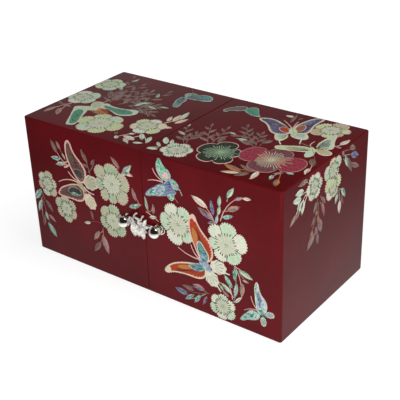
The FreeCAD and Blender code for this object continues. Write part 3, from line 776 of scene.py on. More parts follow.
def orange_butterfly(face):
    """The large one on the right front: pale hind wings, orange fore wings, feelers and body."""
    face.lobe(67, 45, 7.6, 6, "pearl", "warm", 10)
    face.lobe(61, 33.5, 7.2, 6.2, "pearl", "warm", -55)
    face.stem((71, 43), (74, 42), (77, 42.5), "pearl", 1.5)
    face.stem((64, 31), (66, 28), (69, 25), "pearl", 1.5)
    face.stem((59, 40), (62, 38), (66, 37.5), "pearl", 1.4)
    low_wing = [
        (17, 26.5), (17.2, 24.4), (19.5, 24), (24, 26), (30, 27.5), (38, 28.5), (46, 28.5), (51, 29.5),
        (54.5, 32), (56, 36), (55.5, 40), (53, 42.5), (47, 41.5), (40, 40), (33, 38), (26, 35),
        (20.5, 31),
    ]
    face.patch(low_wing, "orange", "warm", 1.1, root=(54, 40))
    face.patch(
        [
            (17.2, 26.5), (17.4, 24.6), (19.5, 24.2), (23, 26), (22.8, 29), (21, 31),
        ],
        "warm", "rose", 0.3,
    )
    face.patch([(28, 32.5), (33, 36), (41, 38), (45, 36), (40, 33.6), (34, 32)], "amber", "orange", 0.5)
    face.patch(
        [
            (54, 43), (47, 41.5), (41.5, 39.3), (39.8, 37.6), (43, 35.6), (48, 35.3), (52.5, 36.8),
            (55, 40),
        ],
        "teal", "sea", 0.8,
    )
    high_wing = [
        (45.5, 82.2), (42.8, 79.5), (41.6, 74), (42, 68), (43.5, 62), (46, 56), (49, 49.5), (53, 45.5),
        (58, 46), (61.5, 49.5), (62.8, 54), (62, 59), (59.5, 64.5), (55.5, 68.5), (52, 72.5),
        (49.3, 77), (47.8, 80.8),
    ]
    face.patch(high_wing, "orange", "rose", 1.15, root=(54, 47))
    face.patch(
        [
            (45.5, 82), (43, 79.4), (42.4, 76.6), (45, 78.4), (47.4, 76.5), (48.8, 78),
        ],
        "rose", "warm", 0.3,
    )
    face.patch(
        [
            (43.8, 70), (46.5, 71), (49.5, 66), (49.5, 61), (47.5, 56.5), (45, 61),
        ],
        "amber", "orange", 0.5,
    )
    face.patch(
        [
            (48.2, 58), (50, 61.6), (53, 60.5), (56, 56.5), (58.8, 52.5), (58.5, 47), (54, 44.5),
            (50.5, 48), (49, 53),
        ],
        "teal", "warm", 0.8,
    )
    face.stem((51, 46), (40, 45), (31, 50), "rose", 0.9)
    face.stem((51, 46), (45, 49), (43, 56), "rose", 0.9)
    face.leaf(49.5, 47.5, 61, 38.5, "sky", 0.26)
    face.leaf(51.5, 52, 56, 45, "sky", 0.2)


def blue_butterfly(face):
    """The one on the right front, high up by the seam."""
    face.patch(
        [
            (26, 104), (30, 105), (34.3, 101.3), (33.5, 97.5), (30.5, 97), (27, 99),
        ],
        "sage", "teal", 0.5,
    )
    face.patch([(23, 91), (25, 88), (28, 87.6), (30, 91), (29, 95), (25, 95)], "green", "sea", 0.5)
    tail_wing = [
        (19, 97), (21.5, 100.5), (26, 103.5), (28, 101), (29.5, 97.5), (31.5, 94), (27, 92.5),
        (22.5, 90), (17, 89),
    ]
    face.patch(tail_wing, "blue", "sky", 0.6)
    face.patch(
        [
            (2.4, 85.4), (5.5, 85), (11, 86.8), (17, 88), (21, 91), (22.5, 96), (20, 99), (15, 97),
            (10, 93.6), (5, 89.5),
        ],
        "sea", "blue", 0.7, 30,
    )
    face.patch([(12.5, 91), (16, 94.5), (19.5, 95.5), (18.5, 92), (15, 90)], "sky", "violet", 0.4)
    face.patch(
        [
            (17.3, 119.2), (14.6, 114), (14.6, 109), (16.8, 104.8), (20, 102), (25, 102.3), (27.6, 106),
            (26, 110.3), (22, 113), (19.6, 115.8),
        ],
        "green", "sea", 0.6, 70,
    )
    face.patch([(20, 104), (25, 103.5), (26.3, 106.5), (24, 109.5), (20.5, 108)], "rose", "sea", 0.5)
    face.stem((33, 100), (36, 98), (37, 94), "sea", 0.8)
    face.stem((27, 92), (31, 90), (33, 87), "pink", 0.6)
    face.stem((20, 101), (13, 103), (11, 109), "rose", 0.8)
    face.stem((20, 100), (13, 101), (6, 98), "rose", 0.8)


def sea_green_butterfly(face):
    """The one on the right front, low down by the outer edge."""
    face.patch(
        [
            (85.6, 7.8), (87, 11), (90, 14.5), (93.5, 18.5), (98, 19.8), (102.5, 17.5), (101, 13.5),
            (97, 11.3), (92, 9.8), (88.5, 7.6),
        ],
        "sea", "sage", 0.5, 30,
    )
    face.patch([(87, 9), (89, 12.5), (92, 13), (91, 10.5)], "green", "sea", 0.3)
    face.patch(
        [
            (99.5, 44.3), (98, 40), (98.2, 34), (98.8, 27.5), (100, 21.5), (104, 19.2), (107.6, 22),
            (108.6, 27), (107, 31.5), (103.8, 35), (102, 39), (101.2, 43),
        ],
        "sea", "pearl", 0.5, 80,
    )
    face.patch([(100.5, 37), (99.8, 32), (102, 28), (104.5, 30), (103, 34)], "violet", "sky", 0.4)
    face.lobe(111, 21, 3.8, 2.7, "sky", "pearl", 15)
    face.lobe(105.5, 13.2, 4, 2.6, "green", "pearl", -85)
    face.leaf(99.5, 21.5, 109, 18, "teal", 0.2)
    face.stem((100, 22), (96, 25), (95, 31), "rose", 0.6)
    face.stem((100, 21), (94, 21), (89, 17), "rose", 0.6)


def right_front_picture():
    face = Inlay("right_front_shell", right_low, X, Z, -Y)
    stems = (
        ((65, 80), (62, 92), (46, 97), "rose"),
        ((65, 80), (62, 86), (51, 89), "violet"),
        ((65, 81), (70, 92), (70, 103), "sage"),
        ((70, 84), (74, 98), (84, 105), "rose"),
        ((84, 105), (89, 108), (95, 108), "rose"),
        ((76, 101), (77, 106), (82, 113), "sage"),
        ((72, 92), (79, 94), (86, 100), "pink"),
        ((71, 87), (75, 90), (80, 91), "green"),
        ((81, 51), (87, 50), (96, 45), "rose"),
        ((82, 50), (88, 42), (87, 26), "rose"),
        ((81, 50), (84, 40), (80, 20), "sage"),
        ((79, 22), (78, 32), (73, 40), "rose"),
        ((80, 20), (84, 24), (87, 27), "sage"),
        ((80, 24), (74, 31), (67, 33), "rose"),
        ((85, 48), (88, 42), (93, 42), "pink"),
        ((58, 19), (48, 22), (33, 17), "brown"),
        ((57, 19), (45, 14), (27, 13), "dusk"),
        ((55, 18), (46, 10), (36, 6), "sage"),
        ((52, 16), (47, 10), (44, 6), "green"),
        ((1, 84), (5, 78), (4, 71), "sage"),
        ((4, 72), (8, 71), (9, 79), "pink"),
        ((2, 71), (8, 69), (14, 66), "rose"),
    )
    leaves = (
        (59, 91, 45, 97, "rose"),
        (64, 83, 50, 89, "violet"),
        (60, 85, 53, 88.5, "amber", 0.14),
        (64, 86, 62, 99, "blue", 0.12),
        (69, 95, 70, 104, "sage"),
        (68, 88, 70, 96, "sage"),
        (66, 80, 68, 89, "green", 0.13),
        (76, 104, 82, 113, "sage"),
        (76, 94, 87, 100, "pink"),
        (82, 104, 90, 108, "violet", 0.14),
        (89, 107, 96, 108, "rose"),
        (72, 87, 81, 91, "green"),
        (59, 79, 66, 82, "violet"),
        (85, 49, 97, 45, "sage"),
        (82, 50, 81, 39, "green"),
        (88, 42, 93, 41, "rose", 0.12),
        (88, 39, 87, 27, "pink"),
        (79, 32, 72, 41, "green"),
        (83, 37, 81, 24, "green", 0.13),
        (78, 27, 69, 33, "sage"),
        (71, 27, 67, 31, "sage"),
        (76, 23, 70, 27, "pink"),
        (81, 20, 87, 27, "pearl", 0.14),
        (54, 21, 43, 22, "violet", 0.22),
        (44, 17, 33, 18, "brown"),
        (38, 11, 26, 13, "blue", 0.2),
        (44, 13, 35, 6, "green", 0.13),
        (50, 15, 44, 6, "sea", 0.15),
        (56, 16, 52, 7, "violet", 0.13),
        (0.5, 84, 4, 72, "sage", 0.13),
        (9, 71, 9.5, 79, "pink"),
        (5, 67, 12, 69, "pearl", 0.2),
    )
    face.draw(stems, leaves)
    petals = [(118, 17.5), (62, 17), (8, 16), (-42, 16), (-105, 18), (178, 17)]
    face.flower(32, 69, petals, rim_tint="pearl")
    petals = [(78, 18.5), (27, 19), (-57, 16), (-120, 16), (187, 15.5), (145, 18)]
    face.flower(74.5, 66, petals, rim_tint="pearl")
    face.flower(70, 12.5, round_petals(85, (11, 11.5, 12, 12, 12.5, 12)), rim_tint="pearl", heart=1.1)
    orange_butterfly(face)
    blue_butterfly(face)
    sea_green_butterfly(face)
    face.finish("right_front_inlay", "right_box")


def teal_butterfly(face):
    """The small one at the back of the left top."""
    face.patch(
        [
            (81, 106), (86, 110), (92, 109), (97, 111.5), (104, 110.5), (108, 104.5), (105, 100.5),
            (98, 99), (91, 98), (85, 99),
        ],
        "teal", "sage", 1.0, root=(84, 101),
    )
    face.patch(
        [
            (82, 98), (82, 92), (84.5, 85), (87.5, 79), (91, 77.8), (92.8, 81), (90.5, 88), (90, 94),
            (87, 99),
        ],
        "teal", "sage", 0.9, -70, root=(84, 99),
    )
    face.lobe(84, 104, 4, 3, "sage", "sage", 120)
    face.stem((88, 104), (84, 112), (80, 115), "dusk", 0.6)


def left_top_picture():
    face = Inlay("left_top_shell", Vector((left_low.x, left_low.y, left_high.z)), X, Y, Z)
    for start, bend, end, tints in (
        ((26, 62), (34, 88), (20, 110), ("dusk", "brown", "sage")),
        ((30, 62), (40, 80), (38, 100), ("brown", "mauve", "dusk")),
        ((38, 60), (48, 74), (48, 90), ("brown", "dusk", "mauve")),
        ((48, 58), (58, 72), (54, 92), ("mauve", "brown", "dusk")),
        ((56, 60), (66, 76), (67, 98), ("dusk", "sage", "brown")),
        ((62, 58), (74, 62), (84, 57), ("brown", "mauve", "dusk")),
        ((58, 60), (70, 70), (80, 72), ("sage", "brown", "dusk")),
        ((40, 58), (34, 66), (32, 78), ("brown", "mauve")),
    ):
        face.spray(start, bend, end, tints, 13, 7)
    stems = (
        ((14, 40), (8, 30), (7, 16), "rose"),
        ((12, 38), (16, 26), (20, 17), "rose"),
        ((104, 48), (110, 58), (107, 75), "pearl"),
        ((105, 22), (112, 18), (116, 12), "pearl"),
        ((98, 22), (92, 16), (90, 9), "rose"),
        ((104, 20), (98, 12), (104, 5), "pearl"),
    )
    leaves = (
        (10, 34, 1, 38, "dusk"),
        (8, 28, 7, 15, "pink"),
        (13, 28, 21, 16, "pink"),
        (9, 36, 19, 34, "pink"),
        (104, 52, 101, 62, "warm"),
        (108, 54, 105, 68, "warm"),
        (110, 60, 107, 76, "pearl", 0.14),
        (111, 52, 115, 64, "warm"),
        (112, 23, 116, 12, "pearl"),
        (102, 24, 110, 15, "pearl"),
        (105, 12, 92, 14, "rose", 0.2),
        (96, 10, 105, 5, "pearl", 0.14),
        (92, 7, 88, 11, "pearl", 0.3),
        (107, 8, 114, 11, "pearl", 0.2),
        (94, 19, 98, 20, "pearl", 0.35),
        (108, 42, 115, 44, "warm", 0.25),
        (86, 12, 84, 17, "dusk", 0.25),
    )
    face.draw(stems, leaves)
    face.flower(12, 89, round_petals(20, (14, 13, 14, 13, 14)), ("mint", "lime"), "pearl")
    face.flower(12.5, 55, round_petals(50, (15, 14, 13.5, 14, 15)), ("mint", "pearl"), "pearl")
    face.flower(97, 37, round_petals(90, (14, 14.5, 14, 14.5, 15.5, 15)), ("warm", "pearl", "lime"), "warm")
    face.patch(
        [
            (28.5, 50.5), (30, 54), (35, 54.5), (40, 50), (41, 45), (37.5, 41.5), (33, 43), (30, 46),
        ],
        "shaded_linen", "pearl", 0.8,
    )
    face.patch(
        [
            (21.5, 36), (24, 39.5), (28.5, 41), (33.5, 39), (37, 33), (39.5, 27), (43.5, 20), (46, 13),
            (46, 9), (43, 6.8), (40, 7), (36, 13), (31, 21), (27, 27), (24.5, 31),
        ],
        "mint", "pearl", 0.7,
    )
    face.patch(
        [
            (37, 52), (40.5, 55), (46, 53), (54, 52.5), (62, 54), (68.5, 56.5), (72.5, 55), (74, 50.5),
            (71, 45), (66, 42), (60, 41.5), (54, 44), (47, 46.5), (40, 47),
        ],
        "mint", "pearl", 0.7,
    )
    face.flower(62, 21.5, round_petals(62, (19, 18.5, 20, 19, 18.5, 21)), ("lime", "mint", "lime"), "rose")
    face.patch(
        [
            (27.6, 32.5), (30.5, 34.5), (34, 33), (38, 27), (42, 20), (45, 13.5), (44.4, 9.6),
            (41.4, 9), (37, 14.2), (32, 21), (28.6, 27),
        ],
        "jade", "sage", 0.4,
    )
    face.patch(
        [
            (41, 50.8), (46, 51.3), (53, 51), (61, 52.8), (67.5, 52.5), (71.3, 48.5), (66, 43.4),
            (59, 42.9), (52, 45.2), (43.5, 47),
        ],
        "jade", "sage", 0.4,
    )
    for x in (48, 53, 58, 63):
        face.score(Vector((x - 3, 46.4)), Vector((x, 50.6)), WING_VEIN_DASH, "pine")
    for y in (14, 18, 22, 26):
        face.score(Vector((35, y + 5)), Vector((41 - 0.5 * (y - 14), y)), WING_VEIN_DASH, "pine")
    face.patch(
        [
            (25, 38.8), (31, 43), (37, 43), (41, 47), (46, 46.5), (45, 42), (40, 38), (34, 36),
            (29, 36),
        ],
        "mint", "lime", 0.5,
    )
    face.leaf(37, 37.5, 54, 35.5, "amber", 0.12)
    face.leaf(40, 43.5, 56, 38, "orange", 0.2)
    face.stem((38, 44), (34, 52), (36, 62), "rose", 0.8)
    teal_butterfly(face)
    face.finish("left_top_inlay", "left_box")


def pale_butterfly(face):
    """The one on the right top by the outer edge, in pale shells."""
    face.patch(
        [
            (101, 62.5), (104, 64), (107.5, 61), (107.5, 57), (105, 54), (102.3, 56.5),
        ],
        "mint", "pearl", 0.6,
    )
    face.patch(
        [
            (77.3, 57.5), (78.5, 60.5), (83, 62.8), (89, 66), (95, 68.5), (100, 68.5), (102.5, 66),
            (101.5, 62), (97, 59.8), (91, 58), (85, 55.8), (80, 55),
        ],
        "lime", "warm", 0.9, root=(103, 65),
    )
    face.patch([(91, 63.5), (95, 65.8), (99, 64.6), (98, 61.6), (94, 60.8)], "mint", "lime", 0.3)
    face.patch(
        [
            (104, 68), (108, 71.5), (113, 71.5), (117, 69.5), (118, 66.5), (115.5, 63.5), (111, 63),
            (107.5, 65),
        ],
        "tan", "warm", 0.8,
    )
    face.patch(
        [
            (101.5, 88), (101, 80), (102.5, 73), (105.5, 70), (110, 71.5), (113, 74), (114, 77),
            (112.5, 81), (110, 86), (108, 91), (106.5, 96), (103.8, 98), (102, 94),
        ],
        "mint", "warm", 1.0, 80, root=(105, 68),
    )
    face.patch(
        [
            (104, 84), (104, 78), (106.5, 75), (110, 76.5), (110, 80), (107.5, 84),
        ],
        "sage", "lime", 0.4,
    )
    face.leaf(99.5, 71, 107.5, 61, "lime", 0.16)
    face.stem((99, 71), (96, 73), (97, 80), "rose", 0.8)
    face.stem((99, 71), (94, 71), (90, 73), "brown", 0.7)


def indigo_butterfly(face):
    """The large one on the right top: pale hind wings with tails, and dark fore wings with eyes."""
    face.patch(
        [
            (77, 79.5), (82, 77.3), (88, 78.2), (90.3, 81.5), (88, 86), (84, 88.5), (79.5, 87),
            (76.5, 83),
        ],
        "mint", "warm", 0.8, root=(77, 87),
    )
    face.patch(
        [
            (65.5, 77.5), (67.5, 72.5), (70, 69), (73.5, 67.5), (76.3, 69.5), (76.8, 74), (75.5, 78.5),
            (70.5, 80),
        ],
        "mint", "warm", 0.8, root=(74, 80),
    )
    face.stem((87, 79), (88, 75), (90, 70.5), "pearl", 1.2)
    face.stem((74, 70), (75, 66), (79, 63), "pearl", 1.2)
    face.patch(
        [
            (39.8, 95.2), (45, 98.5), (52, 98.8), (58, 96.5), (64, 93.3), (69.5, 89), (74, 84),
            (72.5, 79), (67, 76.6), (62, 77), (57.5, 80.5), (53, 85.5), (48, 89.5), (42.5, 92),
        ],
        "indigo", "warm", 1.3, -30, root=(74, 86),
    )
    face.patch(
        [
            (53, 91.5), (57, 93.5), (60, 90.5), (61.5, 86), (60, 84), (56, 87),
        ],
        "violet", "indigo", 0.5,
    )
    face.patch([(62, 87.5), (65.5, 91), (70, 89.3), (73, 85.3), (71, 82), (66, 83)], "orange", "rose", 0.6)
    face.patch(
        [
            (80, 119.8), (77, 117.5), (73.8, 112), (72, 105), (70.8, 98), (72, 91), (75.5, 86),
            (80, 85.5), (84.5, 88.5), (85.5, 93), (84, 100), (82.8, 107), (83.3, 114), (83.5, 119),
        ],
        "indigo", "warm", 1.3, 80, root=(77, 88),
    )
    face.patch(
        [
            (75.5, 113), (73.8, 106), (74.5, 101.5), (78.5, 104), (79, 110), (78, 114),
        ],
        "blue", "violet", 0.4,
    )
    face.patch(
        [
            (72.5, 97), (75, 101), (78.5, 99.5), (80.3, 94), (79, 89.5), (75.5, 89), (73, 92),
        ],
        "rust", "rose", 0.6,
    )
    face.leaf(70, 93, 80.5, 79, "lime", 0.18)
    face.stem((70, 92), (66, 96), (58, 101), "rose", 0.8)
    face.stem((71, 93), (69, 98), (68.5, 105), "rose", 0.8)


def jade_butterfly(face):
    """The small one at the back of the right top."""
    face.patch(
        [
            (20, 104), (23, 109.5), (27.5, 111), (31.5, 106.5), (35, 101.5), (38.3, 97.6), (33, 96),
            (27, 98), (22.5, 100.5),
        ],
        "jade", "sage", 0.8, -40,
    )
    face.patch(
        [
            (6.5, 95), (9, 91.5), (12, 95.5), (16, 98), (20, 100), (22, 104), (19, 108.5), (14, 107),
            (10, 103),
        ],
        "dusk", "sage", 0.8,
    )


def right_top_picture():
    face = Inlay("right_top_shell", Vector((right_low.x, right_low.y, right_high.z)), X, Y, Z)
    for start, bend, end, tints in (
        ((18, 28), (10, 38), (3, 53), ("brown", "dusk", "sage")),
        ((20, 28), (16, 40), (18, 46), ("brown", "dusk")),
        ((34, 36), (26, 46), (18, 62), ("mauve", "brown", "dusk")),
        ((36, 38), (34, 50), (31, 64), ("brown", "dusk")),
        ((66, 48), (56, 58), (42, 60), ("brown", "dusk", "sage")),
        ((66, 50), (60, 62), (58, 70), ("brown", "dusk")),
        ((58, 58), (48, 64), (42, 75), ("brown", "dusk")),
    ):
        face.spray(start, bend, end, tints, 11, 6)
    stems = (
        ((40, 40), (40, 46), (40, 50), "brown"),
        ((68, 52), (66, 58), (68, 66), "dusk"),
        ((60, 50), (50, 52), (47, 55), "brown"),
        ((88, 18), (80, 12), (68, 14), "amber"),
        ((88, 17), (80, 8), (68, 4), "brown"),
        ((90, 18), (91, 12), (91, 5), "rose"),
        ((102, 26), (108, 18), (110, 6), "amber"),
        ((103, 26), (102, 18), (102, 12), "sage"),
        ((108, 60), (114, 52), (117, 44), "dusk"),
        ((114, 48), (118, 40), (119, 30), "rose"),
        ((112, 80), (117, 82), (116, 96), "rose"),
        ((8, 20), (4, 24), (1, 29), "pearl"),
        ((8, 12), (4, 10), (1, 7), "pearl"),
    )
    leaves = (
        (38, 42, 40, 51, "brown", 0.2),
        (51, 66, 50, 71, "pearl", 0.25),
        (62, 52, 52, 53, "brown"),
        (54, 52, 48, 55, "sage"),
        (66, 58, 71, 66, "dusk", 0.28),
        (80, 11, 63, 15, "amber", 0.15),
        (86, 16, 73, 20, "brown", 0.14),
        (80, 9, 68, 4, "warm", 0.14),
        (86, 12, 79, 4, "brown", 0.2),
        (90, 18, 92, 5, "rose", 0.16),
        (107, 15, 111, 5, "amber", 0.2),
        (101, 18, 103, 12, "sage", 0.25),
        (105, 25, 100, 20, "pink", 0.2),
        (112, 27, 106, 26, "sage", 0.2),
        (116, 40, 119, 30, "rose", 0.2),
        (110, 54, 117, 44, "dusk", 0.2),
        (115, 84, 117, 96, "rose", 0.18),
        (112, 81, 119, 80, "pink", 0.18),
        (9, 19, 0.5, 29, "pearl"),
        (13, 20, 8, 28, "pearl"),
        (8, 13, 0.5, 19, "pearl", 0.14),
        (9, 9, 1, 6, "pearl"),
        (54, 110, 62, 111, "rose", 0.2),
        (66, 108, 68, 112, "brown", 0.2),
        (64, 100, 60, 118, "dusk", 0.08),
    )
    face.draw(stems, leaves)
    petals = [(70, 16), (15, 15), (-25, 13), (-75, 14), (-130, 16), (160, 14)]
    face.flower(97, 103.5, petals, ("lime", "tan"))
    petals = round_petals(85, (12, 12.5, 12.5, 12, 12.5, 12))
    face.flower(22, 15, petals, ("mint", "pearl"), "pearl", heart=1.1)
    petals = [(92, 18.5), (26, 15.5), (-48, 19), (-103, 18.5), (176, 18)]
    face.flower(50, 28.5, petals, ("pine",), "rose", nick=0, notch=0.74, heart=0)
    petals = [(88, 19.5), (5, 26), (-88, 20.5), (170, 25.5)]
    face.flower(87.5, 37.5, petals, ("wine", "plum"), "pink", nick=0, notch=0.68, heart=0)
    face.starburst(50.5, 28.5, 12.5, "bottle", ("green", "lime"))
    face.starburst(87.5, 37.5, 14, "blush", ("warm", "lime"))
    pale_butterfly(face)
    indigo_butterfly(face)
    jade_butterfly(face)
    face.finish("right_top_inlay", "right_box")


def side_picture(name, node_name, body, origin, out):
    face = Inlay(name, origin, Y, Z, out)
    stems = (
        ((32, 108), (24, 108), (14, 107), "pearl"),
        ((30, 106), (22, 100), (10, 90), "rose"),
        ((31, 105), (28, 98), (25, 93), "pearl"),
        ((32, 114), (26, 118), (20, 116), "rose"),
        ((46, 95), (44, 78), (33, 60), "mauve"),
        ((47, 92), (48, 74), (46, 59), "brown"),
        ((49, 92), (54, 84), (55, 78), "mauve"),
        ((50, 96), (52, 90), (57, 87), "pink"),
        ((76, 90), (78, 80), (78, 70), "sage"),
        ((77, 90), (82, 86), (85, 80), "sage"),
        ((74, 89), (73, 85), (71, 80), "sage"),
        ((81, 112), (86, 106), (94, 97), "sage"),
        ((82, 114), (92, 112), (104, 106), "sage"),
        ((80, 118), (90, 116), (98, 113), "brown"),
        ((88, 106), (96, 104), (105, 97), "mauve"),
    )
    leaves = (
        (24, 105, 13, 107, "pearl", 0.24),
        (27, 110, 16, 111, "mint", 0.22),
        (32, 116, 20, 116, "mauve"),
        (22, 104, 19, 97, "sage"),
        (26, 103, 21, 96, "mint", 0.25),
        (27, 103, 25, 92, "pearl", 0.22),
        (18, 96, 10, 90, "pink", 0.2),
        (22, 97, 17, 92, "mauve", 0.2),
        (44, 94, 41, 86, "mauve"),
        (45, 84, 38, 77, "brown", 0.2),
        (46, 86, 42, 80, "pink", 0.2),
        (43, 70, 33, 60, "mauve", 0.22),
        (40, 73, 37, 68, "amber", 0.25),
        (47, 82, 48, 74, "amber", 0.18),
        (49, 78, 52, 66, "mauve", 0.24),
        (52, 90, 56, 78, "pink", 0.14),
        (46, 68, 48, 58, "brown", 0.2),
        (44, 74, 46, 66, "mauve", 0.2),
        (52, 94, 57, 87, "mauve", 0.18),
        (74, 87, 72, 80, "sage", 0.28),
        (80, 89, 86, 80, "sage", 0.2),
        (78, 80, 78, 69, "rose", 0.22),
        (79, 84, 84, 74, "dusk", 0.12),
        (84, 113, 88, 103, "sage", 0.2),
        (79, 119, 82, 113, "pink", 0.2),
        (88, 110, 95, 96, "dusk", 0.12),
        (92, 111, 104, 106, "blue", 0.2),
        (93, 103, 106, 96, "mauve", 0.14),
        (90, 118, 99, 113, "mauve", 0.2),
    )
    face.draw(stems, leaves)
    face.flower(41, 107, round_petals(60, (10.5, 11, 11, 10.5, 11, 11)), ("mint", "pearl"))
    face.flower(67, 96, round_petals(-60, (10, 12, 11, 12, 11)), ("lime", "pearl"))
    face.flower(67, 109, round_petals(30, (12, 10, 13, 14, 9)), ("mint", "lime"))
    face.finish(node_name, body)


left_front_picture()
right_front_picture()
left_top_picture()
right_top_picture()
right_corner = Vector((right_high.x, right_low.y, right_low.z))
side_picture("right_side_shell", "right_side_inlay", "right_box", right_corner, X)
side_picture("left_side_shell", "left_side_inlay", "left_box", left_low, -X)

# The clasp. Two round knobs screwed through flat rosettes, a hooked arm that turns on the
# left one and drops over the right one, and a cast blossom with dished petals on the arm.
# The knobs and the arm are polished white metal, and the cast blossom is duller, mottled darker toward the
# middle of each dished petal.

METAL = "f6f4ee"
METAL_DULL = "a3a69a"
# How far the metal turns to a darker mottle toward the middle of a dished petal.
HOLLOW_DARKENING = 0.6


def make_clasp_metal(name, polish, smooth, scuffed):
    material, tree, surface = new_material(name, {"Metallic": polish})
    tones = {"Scale": 260.0, "Dark": colour(METAL_DULL), "Light": colour(METAL)}
    hollow_mottle = use_group(tree, mottle, tones)["Color"]
    # Toward the middle of each dished petal the metal is mottled darker.
    hollow = add(tree, "ShaderNodeAttribute", attribute_name="hollow").outputs["Fac"]
    shade = add(tree, "ShaderNodeMath", {0: hollow, 1: HOLLOW_DARKENING}, operation="MULTIPLY").outputs[0]
    touch = use_group(tree, handling, {"Scale": 900.0, "Smooth": smooth, "Scuffed": scuffed})
    finish = {"Base Color": mixed(tree, shade, colour(METAL), hollow_mottle), "Roughness": touch["Roughness"]}
    connect(tree, surface, finish)
    return material


clasp_metal = make_clasp_metal("clasp_metal", 1.0, 0.05, 0.13)
cast_metal = make_clasp_metal("cast_metal", 0.6, 0.22, 0.36)


def use_material(node_name, material):
    node_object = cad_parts[node_name]
    node_object.data.materials.clear()
    node_object.data.materials.append(material)


def lathe(profile, segments):
    """A closed turned piece from half outlines (radius, height), spun about local Z."""
    bm = bmesh.new()
    verts = [bm.verts.new((r, 0, h)) for r, h in profile]
    edges = [bm.edges.new(pair) for pair in zip(verts, verts[1:])]
    bmesh.ops.spin(
        bm,
        geom=verts + edges,
        axis=(0, 0, 1),
        cent=(0, 0, 0),
        steps=segments,
        angle=math.tau,
        use_merge=True,
    )
    bmesh.ops.remove_doubles(bm, verts=bm.verts, dist=1e-7)
    bmesh.ops.recalc_face_normals(bm, faces=bm.faces)
    return bm


def arc(centre_height, radius, start, end, steps):
    """Points of a turned ball's outline, from one angle to another in degrees above its waist."""
    angles = [math.radians(start + (end - start) * i / steps) for i in range(steps + 1)]
    return [(radius * math.cos(a), centre_height + radius * math.sin(a)) for a in angles]


def facing_front(x, z):
    """Local Z out of the front of the boxes, at a place on them."""
    turn = Matrix(((1, 0, 0), (0, 0, -1), (0, 1, 0))).to_4x4()
    turn.translation = Vector((x, left_low.y, z))
    return turn


knob_low, knob_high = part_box("clasp_pivot_knob")
ball = (knob_high.x - knob_low.x) / 2
knob_x, knob_z = (knob_high.x + knob_low.x) / 2, (knob_high.z + knob_low.z) / 2
ball_height = left_low.y - knob_low.y - ball
arm_low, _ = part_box("clasp_arm")
arm_face = left_low.y - arm_low.y
rosette_low, rosette_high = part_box("left_clasp_rosette")
rosette_radius = (rosette_high.x - rosette_low.x) / 2
rosette_height = left_low.y - rosette_low.y
SHANK = 2.0 * MM
NECK = 1.7 * MM
COLLAR = 2.3 * MM
# Heights above the arm's face at which the knob's collar widens, is full, narrows and ends.
COLLAR_STEPS = (0.12 * MM, 0.3 * MM, 0.8 * MM, 1.1 * MM)
# The rosette is stepped, each step as its way in from the edge and its height.
ROSETTE_STEPS = ((0, 0.35 * MM), (0.3 * MM, 0.55 * MM), (1.2 * MM, 0.6 * MM))
ROSETTE_BEAD = 1.5 * MM
ROSETTE_PLAY = 0.02 * MM


def turned_clasp_piece(name, node_name, body, x, bm, degrees):
    bmesh.ops.transform(bm, matrix=facing_front(x, knob_z), verts=bm.verts)
    bmesh.ops.recalc_face_normals(bm, faces=bm.faces)
    shade_smooth(piece(name, bm, body, [clasp_metal], [node_name]), degrees)


def make_knob(name, node_name, body, x):
    """A ball on a neck with a collar, and a shank that goes into the board."""
    foot, collar_foot, collar_top, neck_top = (arm_face + step for step in COLLAR_STEPS)
    profile = [(0, -SHANK), (NECK, -SHANK), (NECK, foot)]
    profile += [(COLLAR, collar_foot), (COLLAR, collar_top), (NECK, neck_top)]
    start = math.degrees(math.asin(-math.sqrt(1 - (NECK / ball) ** 2)))
    profile += arc(ball_height, ball, start, 90, 28)
    profile[-1] = (0, ball_height + ball)
    turned_clasp_piece(name, node_name, body, x, lathe(profile, 64), 35)


def make_rosette(name, node_name, body, x):
    """A stepped washer under a knob."""
    bore = NECK + ROSETTE_PLAY
    profile = [(bore, 0), (rosette_radius, 0)]
    profile += [(rosette_radius - way_in, height) for way_in, height in ROSETTE_STEPS]
    profile += [(rosette_radius - ROSETTE_BEAD, rosette_height), (bore, rosette_height), (bore, 0)]
    turned_clasp_piece(name, node_name, body, x, lathe(profile, 48), 25)


make_knob("turning_knob", "clasp_pivot_knob", "left_box", knob_x)
make_knob("catching_knob", "clasp_catch_knob", "right_box", -knob_x)
make_rosette("left_knob_rosette", "left_clasp_rosette", "left_box", knob_x)
make_rosette("right_knob_rosette", "right_clasp_rosette", "right_box", -knob_x)
use_material("clasp_arm", clasp_metal)

# The blossom's petals and leaves, from root to tip and with their half width, in millimetres
# beside the seam and above the knobs.
HEART = (1.1, -1.8)
PETALS = [
    ((-8.4, 0.2), (-6.8, -11.3), 3.2),
    ((-4.4, -0.4), (-2.6, -10.3), 2.5),
    ((1.0, -1.6), (1.7, -11.2), 2.3),
    (HEART, (4.6, 6.4), 1.5),
    (HEART, (-3.0, 2.6), 1.6),
    (HEART, (-3.8, -5.0), 1.4),
    (HEART, (7.0, 0.8), 1.3),
    (HEART, (4.8, -5.2), 1.3),
    ((-5.6, -0.8), (-11.6, 4.4), 2.0),
    ((-6.6, 5.8), (-1.0, 4.0), 1.0),
    ((-3.8, 0.4), (-0.8, 5.6), 1.1),
    ((-10.4, -1.6), (-6.2, 1.6), 1.3),
]
# Bent twigs with a bud at the end, as start, bend and end.
TENDRILS = [((-8.2, 2.6), (-8.6, 6.6), (-4.0, 9.2)), ((-0.6, 3.6), (-0.2, 6.4), (2.2, 8.6))]
TENDRIL_STEPS = 10
BLOSSOM_LIFT = 0.9
PETAL_THICKNESS = 0.6
PETAL_RIM_HEIGHT, PETAL_RIM_PLACE, PETAL_RIM_WIDTH = 0.55, 0.84, 0.13
PETAL_RIB_HEIGHT, PETAL_RIB_WIDTH = 0.25, 0.14
PETAL_DISH, PETAL_ARCH = 0.55, 1.1


